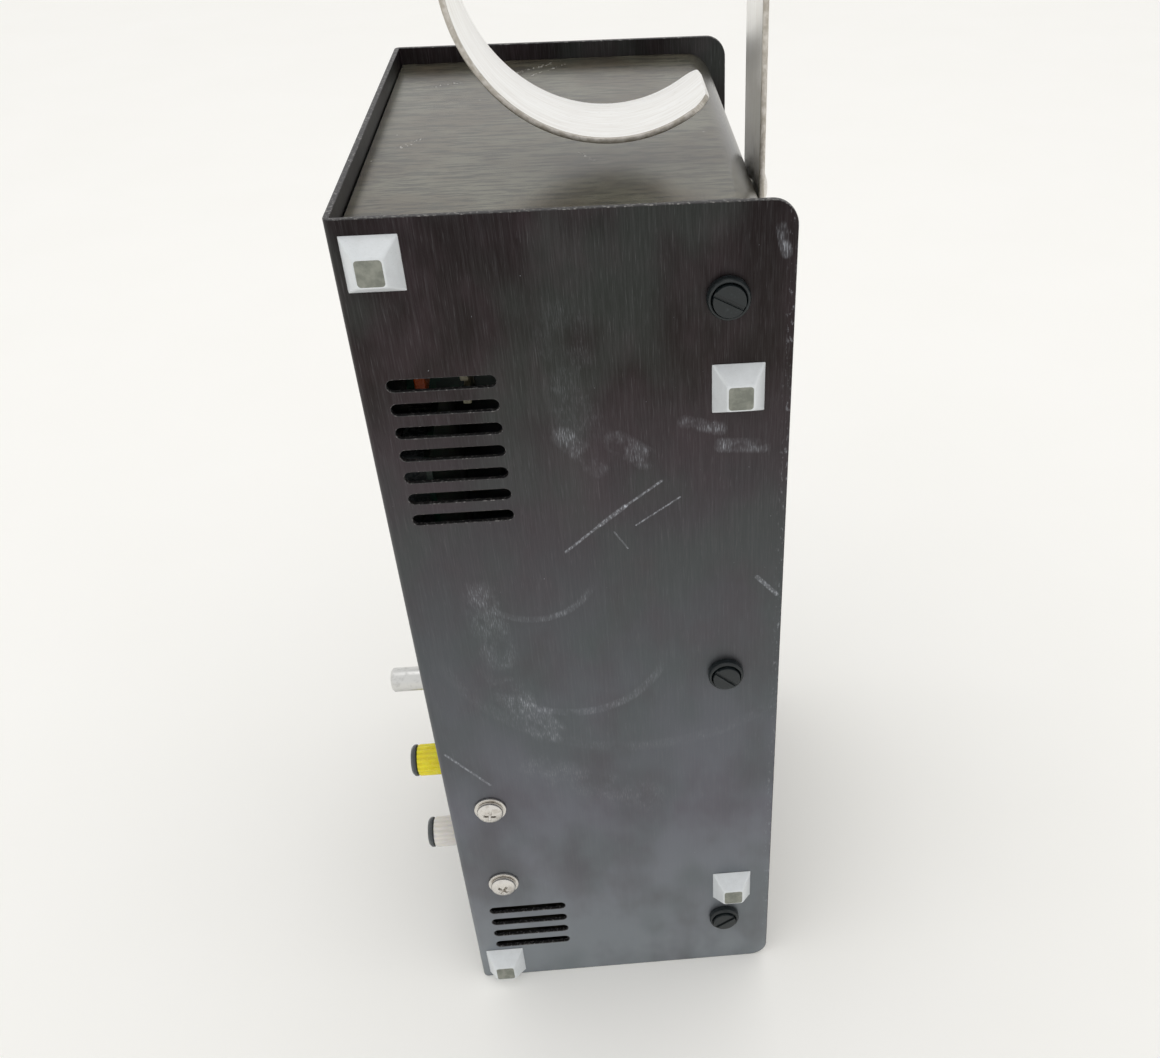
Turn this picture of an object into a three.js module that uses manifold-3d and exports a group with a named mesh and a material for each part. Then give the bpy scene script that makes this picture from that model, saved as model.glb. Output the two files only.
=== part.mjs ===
// A bench and pole syringe pump, standing on its lower end.
// X runs across the foot plate, Y from the foot plate to the far plate, Z up along the case to the hook.
// Case measures are taken from the corner where the foot plate, the control face and the lower end meet.
import * as THREE from "three";
import { mergeVertices } from "three/addons/utils/BufferGeometryUtils.js";
import Module from "manifold-3d";

const wasm = await Module();
wasm.setup();

// ---- Fits ----
const gap = 0.3; // between neighbouring fixed pieces
const seat = 0.1; // under a piece that rests on a surface
const running = 0.1; // radial clearance of a shaft that turns or slides
const over = 1; // how far a cutter runs past the face it cuts

// ---- Case ----
const caseWidth = 102;
const caseDepth = 146;
const caseLength = 274;
const sheet = 1.4;
const shellBend = 1.8;
const plateCorner = 6;
const coverInset = 4.6;
const coverBend = 8;
const coverLip = 12;
const flangeReach = 21;

// ---- Vents in the foot plate ----
const ventLength = 25.4;
const ventWidth = 3.1;
const ventPitch = 6.25;
const ventInset = 6.7;
const upperVents = { count: 7, first: caseLength - 76.9 };
const lowerVents = { count: 4, first: 18.2 };

// ---- Bumper feet ----
const footBase = 12.7;
const footTop = 6.6;
const footHeight = 5.6;
const footPlaces = [
  [9, caseLength - 9.9],
  [caseWidth - 12.9, caseLength - 44.6],
  [caseWidth - 12.9, 41.1],
  [9, 8.6],
];

// ---- Screw rivets ----
const rivetInset = 15.5;
const rivetEnd = 21.5;
const rivetLow = 24.5;
const rivetLevels = [rivetLow, (rivetLow + caseLength - rivetEnd) / 2, caseLength - rivetEnd];
const rivetTurns = [35, -42, -28];
const rivetRing = 5.1;
const rivetRingHeight = 2.5;
const rivetBevel = 0.5;
const rivetBevelHeight = 0.7;
const rivetRecess = 4.05;
const rivetFloor = 0.9;
const rivetHeight = 3.4;
const rivetSleeve = 2.9;
const rivetPin = 2;
const rivetLength = 7;
const rivetHeadGap = 0.2;
const rivetHeadBevel = 0.3;
const rivetPoint = 1;
const rivetPointTaper = 0.6;
const rivetSlot = 1.1;

// ---- Pan-head screws ----
const screwInset = 13;
const screwLevels = [51.8, 88.2];
const screwHead = 4;
const screwHeadHeight = 2.6;
const screwShank = 2;
const screwLength = 9;
const screwRimHeight = 1.2;
const screwCrown = { radius: 0.84, height: 2.1 };
const screwTop = 0.5;
const crossLength = 4.2;
const crossDepth = 1.5;
const crossWidth = 1;
const crossTurns = [20, 50];
const hookCrossTurns = [15, 55];
const washerRadius = 4.9;
const washerThickness = 0.9;

// ---- Hanging hook ----
const strip = 1.4;
const stripWidth = 28;
const hookNear = 32;
const loopRadius = 36;
const loopLevel = caseLength + 39.2;
const loopSweep = 310;
const stripCorner = 5;
const hookFoot = caseLength - 69;
const hookScrewLevels = [hookFoot + 20, hookFoot + 56];

// ---- Control knobs ----
const controlRow = 30;
const knobLevels = [45.2, 81.5, 117.8];
const knobRadius = 5.3;
const knobLength = 14.8;
const knobRibs = 18;
const ribDepth = 0.45;
const knobCap = 2;
const knobStand = 1.2;
const knobBoreRoof = 2;
const capBevel = 0.8;
const selectorRadius = 3.8;
const selectorLength = 15.3;
const selectorBevel = 0.7;
const shaftRadius = 2;
const shaftEnd = 3;
const controlFloor = 2;
const bushRadius = 3.2;
const bushStand = 0.9;
const controlRadius = 7.5;
const controlDepth = 9;

// ---- Display and keys ----
const windowLow = [20, 142];
const windowHigh = [40, 202];
const windowLip = 2;
const windowLipThick = 0.8;
const windowSink = 0.2;
const boardMargin = 6;
const moduleDepth = 7;
const keyRow = 52;
const keyLevels = [150, 172, 194];
const keyRadius = 4.5;
const keyStand = 2.2;
const keyTravel = 1;
const keyDepth = 4;
const keyCollar = 1;
const keyStem = 3;
const keyBevel = 0.5;
const board = 1.6;
const panelBoardGap = 0.2;
const panelBoardNear = 12;
const panelBoardFar = keyRow + 8;
const switchHalf = 3;

// ---- Drive ----
const driveRow = caseDepth - 43;
const driveX = 34;
const rodSpread = 20;
const rodRadius = 4;
const screwRadius = 4;
const journal = 3;
const bracketSheet = 1.6;
const bracketLeft = 5;
const bracketRight = 72;
const shelfTop = 95;
const shelfMargin = 8;
const topPlate = caseLength - 24;
const topPlateHalf = 12;
const topPlateFlange = 24;
const toothModule = 1.25;
const pinionTeeth = 12;
const gearTeeth = 20;
const gearFace = 6;
const gearHub = 7;
const gearHubHeight = 4;
const toothTip = 0.75;
const toothRoot = 1.1;
const tipShare = 0.1;
const rootShare = 0.29;
const screwStand = 2;
const rodStand = 1;
const threadGap = 1;
const motorSize = 42;
const motorLength = 40;
const motorBoss = 11;
const motorShaft = 2.5;
const motorCorner = 4;
const motorBore = 14;
const motorShaftInside = 12;
const motorShaftStand = 1;

// ---- Carriage and pusher ----
const carriageLevel = topPlate - 54;
const carriageHeight = 26;
const carriageWidth = 58;
const carriageThick = 20;
const travel = 85;
const armWidth = 7;
const armHeight = 18;
const slotClearance = 0.8;
const pusherWidth = 26;
const pusherHeight = 16;
const pusherThick = 17;
const pusherStand = 2;
const pusherCorner = 3;
const plungerSlot = { half: 10, low: 2, high: 4.6, floor: 4 };
const plungerMouth = 6;
const releaseRadius = 4;
const releaseStand = 3;
const releaseTravel = 2.5;
const releaseLevel = 10.5;
const releaseBody = 6;
const releaseBevel = 0.8;
const releaseRoom = 0.5;

// ---- Syringe cradle and clamp ----
const cradleLow = 22;
const cradleHigh = carriageLevel - travel - 11;
const cradleWidth = 28;
const cradleThick = 14;
const barrelRadius = 11;
const flangeSlot = [cradleHigh - 8, cradleHigh - 5];
const flangeSlotFloor = 4;
const clampRow = driveRow + 21;
const clampLevel = 60;
const clampRod = 3;
const clampReach = 31;
const clampBarWidth = 10;
const clampBarThick = 3.6;
const clampBarStand = 16.4;
const clampCollar = 5;
const clampInside = 22;
const clampCollarThick = 2.4;
const springWire = 0.5;
const springTurns = 4.5;

// ---- Electronics and mains inlet ----
const supplyBoardRow = 40;
const supplyBoardLow = [4, caseLength - 63];
const supplyBoardHigh = [70, caseLength - 12];
const boardBracketSheet = 1.2;
const boardBracketRight = 22;
const boardBracketDepth = 18;
const boardBracketEnds = [4, 6];
const partsNear = 27;
const capacitorX = [8.3, 11.3];
const capacitorLevel = supplyBoardLow[1] + 5.8;
const capacitorHeight = 7.8;
const connectorX = [20, 22.6];
const connectorLevel = supplyBoardLow[1] + 1.5;
const connectorHeight = 26.5;
const connectorBase = 3;
const postCount = 4;
const postPitch = 6.6;
const postHeight = 3;
const postInset = 0.2;
const postFirst = 2.1;
const coreX = [30, 66];
const coreY = [28, 60];
const coreHeight = 40;
const windingX = [34, 62];
const windingOverhang = 10;
const windingLevels = [7, 33];
const windingCorner = 4;
const inletRow = caseDepth - 59;
const inletLevel = 30;
const inletLength = 50;
const inletHeight = 24;
const inletDepth = 22;
const inletLip = 4;
const inletLipEnd = 3;
const inletFlange = 2;
const socketFromEnd = 15;
const socketHalf = 12;
const socketHalfHeight = 8;
const socketCorner = 4;
const socketDepth = 16;
const pinPlaces = [[-7, 1.5], [0, -2.5], [7, 1.5]];
const pinHalf = [1, 2];
const pinShort = 3;
const rockerPocketDepth = 9;
const rockerPocketGap = [1.2, 0.6];
const rockerSink = 1;
const rockerRow = inletRow - 13.5;
const rockerLength = 18;
const rockerHeight = 12;
const rockerTilt = 8;
const rockerBack = 2.5;
const rockerEnd = 3.4;
const rockerMiddle = 2.1;

// ---- Worked out from the values above ----
const moduleFront = sheet + 2 * gap + windowLipThick;
const panelBoardX = moduleFront + moduleDepth + panelBoardGap;
const coverLeft = sheet + gap;
const coverRight = caseWidth - coverInset;
const coverNear = sheet + gap;
const coverFar = caseDepth - sheet - gap;
const hookInner = coverRight + seat;
const hookOuter = hookInner + strip;
const hookFar = hookNear + stripWidth;
const hookMiddle = (hookNear + hookFar) / 2;
const loopX = hookOuter - loopRadius;
const rivetX = caseWidth - rivetInset;
const pinionX = driveX + (toothModule * (pinionTeeth + gearTeeth)) / 2;
const gearLevel = shelfTop + 2;
const pusherFace = -(pusherStand + pusherThick);
const degree = Math.PI / 180;

// ---- Solids ----

// A closed geometry as a solid that can be joined and cut.
function solid(geometry) {
  const bare = geometry.clone();
  bare.deleteAttribute("normal");
  bare.deleteAttribute("uv");
  const merged = mergeVertices(bare, 1e-4);
  const corners = merged.index.array;
  const faces = [];
  for (let i = 0; i < corners.length; i += 3) {
    const [a, b, c] = corners.subarray(i, i + 3);
    if (a !== b && b !== c && c !== a) faces.push(a, b, c);
  }
  return new wasm.Manifold(
    new wasm.Mesh({
      numProp: 3,
      vertProperties: merged.attributes.position.array,
      triVerts: new Uint32Array(faces),
    }),
  );
}

function box(x0, x1, y0, y1, z0, z1) {
  const block = new THREE.BoxGeometry(x1 - x0, y1 - y0, z1 - z0);
  block.translate((x0 + x1) / 2, (y0 + y1) / 2, (z0 + z1) / 2);
  return solid(block);
}

// A round bar along an axis, from one station to another, through the point at.
function bar(axis, radius, from, to, at, sides = 16) {
  const round = new THREE.CylinderGeometry(radius, radius, to - from, sides);
  round.translate(0, (from + to) / 2, 0);
  if (axis === "x") round.rotateZ(-Math.PI / 2);
  if (axis === "z") round.rotateX(Math.PI / 2);
  round.translate(...at);
  return solid(round);
}

// A piece turned about Y from its outline of radius and height.
function turned(outline, sides = 16) {
  const points = outline.map(([radius, height]) => new THREE.Vector2(radius, height));
  return solid(new THREE.LatheGeometry(points, sides));
}

// A rectangle with its own radius at each corner, starting at the low corner and going round.
function outline(x0, x1, y0, y1, radii) {
  const [a, b, c, d] = radii;
  const shape = new THREE.Shape();
  shape.moveTo(x0 + a, y0);
  shape.lineTo(x1 - b, y0);
  if (b) shape.absarc(x1 - b, y0 + b, b, -Math.PI / 2, 0, false);
  shape.lineTo(x1, y1 - c);
  if (c) shape.absarc(x1 - c, y1 - c, c, 0, Math.PI / 2, false);
  shape.lineTo(x0 + d, y1);
  if (d) shape.absarc(x0 + d, y1 - d, d, Math.PI / 2, Math.PI, false);
  shape.lineTo(x0, y0 + a);
  if (a) shape.absarc(x0 + a, y0 + a, a, Math.PI, 1.5 * Math.PI, false);
  return shape;
}

function extruded(shape, depth, curveSegments) {
  return new THREE.ExtrudeGeometry(shape, { depth, curveSegments, bevelEnabled: false });
}

// Extrusions of an outline drawn in XY, XZ and YZ.
function alongZ(shape, z0, z1, curveSegments = 2) {
  const slab = extruded(shape, z1 - z0, curveSegments);
  slab.translate(0, 0, z0);
  return solid(slab);
}

function alongY(shape, y0, y1, curveSegments = 2) {
  const slab = extruded(shape, y1 - y0, curveSegments);
  slab.rotateX(Math.PI / 2);
  slab.translate(0, y1, 0);
  return solid(slab);
}

function alongX(shape, x0, x1, curveSegments = 2) {
  const slab = extruded(shape, x1 - x0, curveSegments);
  const axes = new THREE.Matrix4();
  axes.makeBasis(new THREE.Vector3(0, 1, 0), new THREE.Vector3(0, 0, 1), new THREE.Vector3(1, 0, 0));
  slab.applyMatrix4(axes);
  slab.translate(x0, 0, 0);
  return solid(slab);
}

// The waste outside a rounded corner at the origin, its material lying towards -X and -Y.
function cornerWaste(radius, thickness) {
  const shape = new THREE.Shape();
  shape.moveTo(-radius, 0);
  shape.absarc(-radius, -radius, radius, Math.PI / 2, 0, true);
  shape.lineTo(over, -radius);
  shape.lineTo(over, over);
  shape.lineTo(-radius, over);
  const slab = extruded(shape, thickness, 3);
  slab.translate(0, 0, -thickness / 2);
  return slab;
}

const pump = new THREE.Group();

function finish(color, roughness, metalness) {
  return new THREE.MeshStandardMaterial({ color, roughness, metalness });
}

const finishes = {
  blackAnodised: () => finish(0x26252b, 0.45, 0.8),
  coverAnodised: () => finish(0x3b3d3b, 0.35, 0.85),
  aluminium: () => finish(0xc9c9c6, 0.3, 1),
  steel: () => finish(0xb9bbbd, 0.25, 1),
  zincSheet: () => finish(0xa6a9ab, 0.4, 1),
  bumper: () => finish(0xc4c9cb, 0.5, 0),
  blackPlastic: () => finish(0x111214, 0.5, 0),
  yellowPlastic: () => finish(0xe8cf10, 0.3, 0),
  whitePlastic: () => finish(0xe9e6de, 0.35, 0),
  greyPlastic: () => finish(0x555a5c, 0.45, 0),
  smokedWindow: () => finish(0x101a1c, 0.1, 0),
  boardGreen: () => finish(0x1f5a3a, 0.6, 0),
  orangePart: () => finish(0xd8622a, 0.45, 0),
  beigePart: () => finish(0xd8cfae, 0.5, 0),
  brass: () => finish(0xb08d45, 0.35, 1),
  motorBlack: () => finish(0x1b1c1e, 0.5, 0.3),
  laminations: () => finish(0x4a4744, 0.6, 0.7),
};

// Names a solid, gives it a finish of its own and hangs it on the pump.
function add(name, body, makeFinish) {
  const { vertProperties, triVerts } = body.getMesh();
  const geometry = new THREE.BufferGeometry();
  geometry.setAttribute("position", new THREE.BufferAttribute(vertProperties, 3));
  geometry.setIndex(new THREE.BufferAttribute(triVerts, 1));
  geometry.computeVertexNormals();
  const mesh = new THREE.Mesh(geometry, makeFinish());
  mesh.name = name;
  pump.add(mesh);
  return mesh;
}

// Turned pieces are made with their outward end along +Y and then faced to their side of the case.
function faceFootPlate(mesh, x, z) {
  mesh.rotation.x = Math.PI;
  mesh.position.set(x, 0, z);
}

function faceFarPlate(mesh, x, z) {
  mesh.position.set(x, caseDepth, z);
}

function faceControls(mesh, y, z, x = 0) {
  mesh.rotation.z = Math.PI / 2;
  mesh.position.set(x, y, z);
}

function faceBack(mesh, x, y, z) {
  mesh.rotation.z = -Math.PI / 2;
  mesh.position.set(x, y, z);
}

// ---- Case ----

function ventCutters({ count, first }) {
  const cutters = [];
  for (let i = 0; i < count; i += 1) {
    const level = first + i * ventPitch;
    const radius = ventWidth / 2;
    const round = [radius, radius, radius, radius];
    const slot = outline(ventInset, ventInset + ventLength, level - radius, level + radius, round);
    cutters.push(alongY(slot, -over, sheet + over, 1.5));
  }
  return cutters;
}

function holeThroughControlFace(radius, y, z) {
  return bar("x", radius, -over, sheet + over, [0, y, z]);
}

function outerShell() {
  const inner = shellBend - sheet;
  const channel = new THREE.Shape();
  channel.moveTo(caseWidth, 0);
  channel.lineTo(shellBend, 0);
  channel.absarc(shellBend, shellBend, shellBend, 1.5 * Math.PI, Math.PI, true);
  channel.lineTo(0, caseDepth - shellBend);
  channel.absarc(shellBend, caseDepth - shellBend, shellBend, Math.PI, Math.PI / 2, true);
  channel.lineTo(caseWidth, caseDepth);
  channel.lineTo(caseWidth, caseDepth - sheet);
  channel.lineTo(shellBend, caseDepth - sheet);
  channel.absarc(shellBend, caseDepth - shellBend, inner, Math.PI / 2, Math.PI, false);
  channel.lineTo(sheet, shellBend);
  channel.absarc(shellBend, shellBend, inner, Math.PI, 1.5 * Math.PI, false);
  channel.lineTo(caseWidth, sheet);
  const silhouette = outline(0, caseWidth, 0, caseLength, [0, plateCorner, plateCorner, 0]);
  let shell = alongZ(channel, 0, caseLength);
  shell = shell.intersect(alongY(silhouette, -over, caseDepth + over, 4));
  const cuts = [...ventCutters(upperVents), ...ventCutters(lowerVents)];
  for (const level of rivetLevels) {
    cuts.push(bar("y", rivetSleeve + running, -over, caseDepth + over, [rivetX, 0, level]));
  }
  for (const level of screwLevels) {
    cuts.push(bar("y", screwShank + gap, -over, sheet + over, [screwInset, 0, level]));
  }
  for (const level of knobLevels) {
    cuts.push(holeThroughControlFace(bushRadius + running, controlRow, level));
  }
  for (const level of keyLevels) {
    cuts.push(holeThroughControlFace(keyRadius + gap, keyRow, level));
  }
  cuts.push(holeThroughControlFace(clampRod + running, clampRow, clampLevel));
  cuts.push(box(-over, sheet + over, windowLow[0], windowHigh[0], windowLow[1], windowHigh[1]));
  const slotHalf = armWidth / 2 + slotClearance;
  const armLow = carriageLevel + (carriageHeight - armHeight) / 2;
  const slotLow = armLow - travel - slotClearance;
  const slotHigh = armLow + armHeight + slotClearance;
  cuts.push(box(-over, sheet + over, driveRow - slotHalf, driveRow + slotHalf, slotLow, slotHigh));
  for (const cut of cuts) shell = shell.subtract(cut);
  return shell;
}

function innerCover() {
  const low = coverInset;
  const high = caseLength - coverInset;
  const bent = [0, coverBend, coverBend, 0];
  const hollowBend = coverBend - sheet;
  const wrap = outline(coverLeft, coverRight, low, high, bent);
  const inside = outline(
    coverLeft - over,
    coverRight - sheet,
    low + sheet,
    high - sheet,
    [0, hollowBend, hollowBend, 0],
  );
  let cover = alongY(wrap, coverNear, coverFar, 3);
  cover = cover.subtract(alongY(inside, coverNear - over, coverFar + over, 3));
  const lipX = [coverLeft, coverLeft + sheet];
  cover = cover.add(box(...lipX, coverNear, coverFar, low, low + coverLip));
  cover = cover.add(box(...lipX, coverNear, coverFar, high - coverLip, high));
  const flangeX = [coverRight - flangeReach, coverRight - sheet / 2];
  const flangeZ = [low + coverBend, high - coverBend];
  cover = cover.add(box(...flangeX, coverNear, coverNear + sheet, ...flangeZ));
  cover = cover.add(box(...flangeX, coverFar - sheet, coverFar, ...flangeZ));
  const cuts = [];
  for (const level of rivetLevels) {
    cuts.push(bar("y", rivetSleeve + running, -over, caseDepth + over, [rivetX, 0, level]));
  }
  for (const level of hookScrewLevels) {
    const hole = [0, hookMiddle, level];
    cuts.push(bar("x", screwShank + gap, coverRight - sheet - over, coverRight + over, hole));
  }
  const inletY = [inletRow - inletLength / 2, inletRow + inletLength / 2];
  const inletZ = [inletLevel - inletHeight / 2, inletLevel + inletHeight / 2];
  cuts.push(box(coverRight - sheet - over, coverRight + over, ...inletY, ...inletZ));
  for (const cut of cuts) cover = cover.subtract(cut);
  return cover;
}

function bumperFoot() {
  const taper = new THREE.CylinderGeometry(footTop / Math.SQRT2, footBase / Math.SQRT2, footHeight, 4);
  taper.rotateY(45 * degree);
  taper.translate(0, seat + footHeight / 2, 0);
  return solid(taper);
}

function rivetRingBody() {
  const bore = rivetPin + running;
  return turned([
    [bore, -rivetLength],
    [rivetSleeve, -rivetLength],
    [rivetSleeve, seat],
    [rivetRing, seat],
    [rivetRing, rivetRingHeight - rivetBevelHeight],
    [rivetRing - rivetBevel, rivetRingHeight],
    [rivetRecess, rivetRingHeight],
    [rivetRecess, rivetFloor],
    [bore, rivetFloor],
    [bore, -rivetLength],
  ]);
}

function rivetPinBody(turn) {
  const head = rivetRecess - rivetHeadGap;
  const pin = turned([
    [0, -rivetLength - rivetPoint],
    [rivetPin, -rivetLength - rivetPoint + rivetPointTaper],
    [rivetPin, rivetFloor + seat],
    [head, rivetFloor + seat],
    [head, rivetHeight - rivetHeadBevel],
    [head - rivetHeadBevel, rivetHeight],
    [0, rivetHeight],
  ]);
  const slot = new THREE.BoxGeometry(2 * head + over, rivetSlot, rivetSlot);
  slot.translate(0, rivetHeight, 0);
  slot.rotateY(turn * degree);
  return pin.subtract(solid(slot));
}

function farRivetBody(turn) {
  const head = rivetRecess - rivetHeadGap;
  const rivet = turned([
    [0, -rivetLength],
    [rivetSleeve, -rivetLength],
    [rivetSleeve, seat],
    [rivetRing, seat],
    [rivetRing, rivetRingHeight - rivetBevelHeight],
    [rivetRing - rivetBevel, rivetRingHeight],
    [head, rivetRingHeight],
    [head, rivetHeight],
    [0, rivetHeight],
  ]);
  const slot = new THREE.BoxGeometry(2 * head + over, rivetSlot, rivetSlot);
  slot.translate(0, rivetHeight, 0);
  slot.rotateY(turn * degree);
  return rivet.subtract(solid(slot));
}

function panHeadScrew(base, turn) {
  const screw = turned([
    [0, -screwLength],
    [screwShank, -screwLength],
    [screwShank, base],
    [screwHead, base],
    [screwHead, base + screwRimHeight],
    [screwHead * screwCrown.radius, base + screwCrown.height],
    [screwHead * screwTop, base + screwHeadHeight],
    [0, base + screwHeadHeight],
  ]);
  let recessed = screw;
  for (const quarter of [0, 90]) {
    const blade = new THREE.BoxGeometry(crossLength, 2 * crossDepth, crossWidth);
    blade.translate(0, base + screwHeadHeight, 0);
    blade.rotateY((turn + quarter) * degree);
    recessed = recessed.subtract(solid(blade));
  }
  return recessed;
}

function washerBody() {
  const hole = screwShank + gap;
  return turned([
    [hole, seat],
    [washerRadius, seat],
    [washerRadius, washerThickness],
    [hole, washerThickness],
    [hole, seat],
  ]);
}

// ---- Hook ----

// The basis of a cutter at a strip end: along is out of the end, across is over its width.
function endBasis(along, across) {
  const out = new THREE.Vector3().crossVectors(along, across);
  return new THREE.Matrix4().makeBasis(along, across, out);
}

function hangerHook() {
  const sweep = loopSweep * degree;
  const shape = new THREE.Shape();
  shape.moveTo(hookOuter, hookFoot);
  shape.lineTo(hookOuter, loopLevel);
  shape.absarc(loopX, loopLevel, loopRadius, 0, sweep, false);
  shape.absarc(loopX, loopLevel, loopRadius - strip, sweep, 0, true);
  shape.lineTo(hookInner, hookFoot);
  let hook = alongY(shape, hookNear, hookFar, loopSweep / 10);
  const middle = loopRadius - strip / 2;
  const tip = new THREE.Vector3(loopX + middle * Math.cos(sweep), 0, loopLevel + middle * Math.sin(sweep));
  const tangent = new THREE.Vector3(-Math.sin(sweep), 0, Math.cos(sweep));
  const heel = new THREE.Vector3(hookInner + strip / 2, 0, hookFoot);
  const down = new THREE.Vector3(0, 0, -1);
  for (const [point, along] of [[tip, tangent], [heel, down]]) {
    for (const [side, sign] of [[hookFar, 1], [hookNear, -1]]) {
      const waste = cornerWaste(stripCorner, 4 * strip);
      waste.applyMatrix4(endBasis(along, new THREE.Vector3(0, sign, 0)));
      waste.translate(point.x, side, point.z);
      hook = hook.subtract(solid(waste));
    }
  }
  for (const level of hookScrewLevels) {
    const hole = [0, hookMiddle, level];
    hook = hook.subtract(bar("x", screwShank + gap, hookInner - over, hookOuter + over, hole));
  }
  return hook;
}

// ---- Controls ----

function ribbedKnob() {
  const shape = new THREE.Shape();
  const steps = knobRibs * 4;
  for (let i = 0; i < steps; i += 1) {
    const angle = (2 * Math.PI * i) / steps;
    const radius = knobRadius - (i % 4 < 2 ? 0 : ribDepth);
    const point = [radius * Math.cos(angle), radius * Math.sin(angle)];
    if (i === 0) shape.moveTo(...point);
    else shape.lineTo(...point);
  }
  const grip = extruded(shape, knobLength - knobCap - seat - knobStand, 1);
  grip.rotateX(-Math.PI / 2);
  grip.translate(0, knobStand, 0);
  const bore = shaftRadius + seat;
  return solid(grip).subtract(bar("y", bore, 0, knobLength - knobCap - knobBoreRoof, [0, 0, 0]));
}

function knobCapBody() {
  const low = knobLength - knobCap;
  return turned([
    [0, low],
    [knobRadius, low],
    [knobRadius, knobLength - capBevel],
    [knobRadius - capBevel, knobLength],
    [0, knobLength],
  ]);
}

// The selector's slim metal knob is one piece with its shaft.
function selectorKnob() {
  return turned([
    [0, -sheet - controlDepth + controlFloor],
    [shaftRadius, -sheet - controlDepth + controlFloor],
    [shaftRadius, knobStand],
    [selectorRadius, knobStand],
    [selectorRadius, selectorLength - selectorBevel],
    [selectorRadius - selectorBevel, selectorLength],
    [0, selectorLength],
  ], 24);
}

function controlShaft() {
  const low = -sheet - controlDepth + controlFloor;
  return bar("y", shaftRadius, low, knobLength - knobCap - shaftEnd, [0, 0, 0]);
}

function controlBody() {
  const back = -sheet - seat;
  const bore = shaftRadius + running;
  return turned([
    [0, back - controlDepth],
    [controlRadius, back - controlDepth],
    [controlRadius, back],
    [bushRadius, back],
    [bushRadius, bushStand],
    [bore, bushStand],
    [bore, back - controlDepth + controlFloor],
    [0, back - controlDepth + controlFloor],
  ]);
}

function displayWindow() {
  const [y0, z0] = windowLow;
  const [y1, z1] = windowHigh;
  const pane = box(gap, sheet + gap + windowSink, y0 + gap, y1 - gap, z0 + gap, z1 - gap);
  const lipX = [sheet + gap, sheet + gap + windowLipThick];
  return pane.add(box(...lipX, y0 - windowLip, y1 + windowLip, z0 - windowLip, z1 + windowLip));
}

function displayModule() {
  const [y0, z0] = windowLow;
  const [y1, z1] = windowHigh;
  const edge = 2 * windowLip;
  return box(moduleFront, moduleFront + moduleDepth, y0 - edge, y1 + edge, z0 - edge, z1 + edge);
}

function keyBody() {
  const back = -sheet - seat;
  return turned([
    [0, -keyDepth],
    [keyStem, -keyDepth],
    [keyStem, back - keyCollar],
    [keyRadius + keyCollar, back - keyCollar],
    [keyRadius + keyCollar, back],
    [keyRadius, back],
    [keyRadius, keyStand - keyBevel],
    [keyRadius - keyBevel, keyStand],
    [0, keyStand],
  ]);
}

function panelBoard() {
  const low = windowLow[1] - boardMargin;
  const high = windowHigh[1] + boardMargin;
  let plate = box(panelBoardX, panelBoardX + board, panelBoardNear, panelBoardFar, low, high);
  const switchFront = keyDepth + keyTravel + gap;
  for (const level of keyLevels) {
    const switchX = [switchFront, panelBoardX + seat];
    const switchY = [keyRow - switchHalf, keyRow + switchHalf];
    plate = plate.add(box(...switchX, ...switchY, level - switchHalf, level + switchHalf));
  }
  return plate;
}

// ---- Drive ----

// A spur gear with straight-flanked teeth about Z, its first tooth centred on the given angle.
function spurGear(teeth, bore, first, x, z0, z1) {
  const pitch = (toothModule * teeth) / 2;
  const tip = pitch + toothTip * toothModule;
  const root = pitch - toothRoot * toothModule;
  const step = (2 * Math.PI) / teeth;
  const shape = new THREE.Shape();
  for (let i = 0; i < teeth; i += 1) {
    const corners = [[root, -rootShare], [tip, -tipShare], [tip, tipShare], [root, rootShare]];
    for (const [radius, share] of corners) {
      const angle = first + (i + share) * step;
      const point = [x + radius * Math.cos(angle), driveRow + radius * Math.sin(angle)];
      if (i === 0 && share === -rootShare) shape.moveTo(...point);
      else shape.lineTo(...point);
    }
  }
  const wheel = alongZ(shape, z0, z1, 1);
  return bore ? wheel.subtract(bar("z", bore, z0 - over, z1 + over, [x, driveRow, 0])) : wheel;
}

function motorBracket() {
  const flangeTop = shelfTop - bracketSheet;
  const near = coverNear;
  const farEdge = driveRow + rodSpread + shelfMargin;
  let bracket = box(bracketLeft, bracketRight, near, farEdge, flangeTop, shelfTop);
  const wing = [pinionX, pinionX + motorSize / 2, driveRow - motorSize / 2, farEdge];
  bracket = bracket.add(box(...wing, flangeTop, shelfTop));
  const flangeLow = screwLevels[0] - shelfMargin;
  bracket = bracket.add(box(bracketLeft, bracketRight, near, near + bracketSheet, flangeLow, shelfTop));
  const cuts = [bar("z", motorBoss + gap, flangeTop - over, shelfTop + over, [pinionX, driveRow, 0])];
  cuts.push(bar("z", journal + running, flangeTop - over, shelfTop + over, [driveX, driveRow, 0]));
  for (const side of [-1, 1]) {
    const at = [driveX, driveRow + side * rodSpread, 0];
    cuts.push(bar("z", rodRadius + seat, flangeTop - over, shelfTop + over, at));
  }
  for (const level of screwLevels) {
    const hole = [screwInset, 0, level];
    cuts.push(bar("y", screwShank + running, near - over, near + bracketSheet + over, hole));
  }
  for (const cut of cuts) bracket = bracket.subtract(cut);
  return bracket;
}

function topBracket() {
  const top = topPlate + bracketSheet;
  const [left, right] = [driveX - topPlateHalf, driveX + topPlateHalf];
  const near = driveRow - rodSpread - topPlateHalf;
  let bracket = box(left, right, near, coverFar, topPlate, top);
  const flangeY = [coverFar - bracketSheet, coverFar];
  bracket = bracket.add(box(left, right, ...flangeY, topPlate - topPlateFlange, top));
  bracket = bracket.subtract(bar("z", journal + running, topPlate - over, top + over, [driveX, driveRow, 0]));
  for (const side of [-1, 1]) {
    const at = [driveX, driveRow + side * rodSpread, 0];
    bracket = bracket.subtract(bar("z", rodRadius + seat, topPlate - over, top + over, at));
  }
  return bracket;
}

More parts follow.
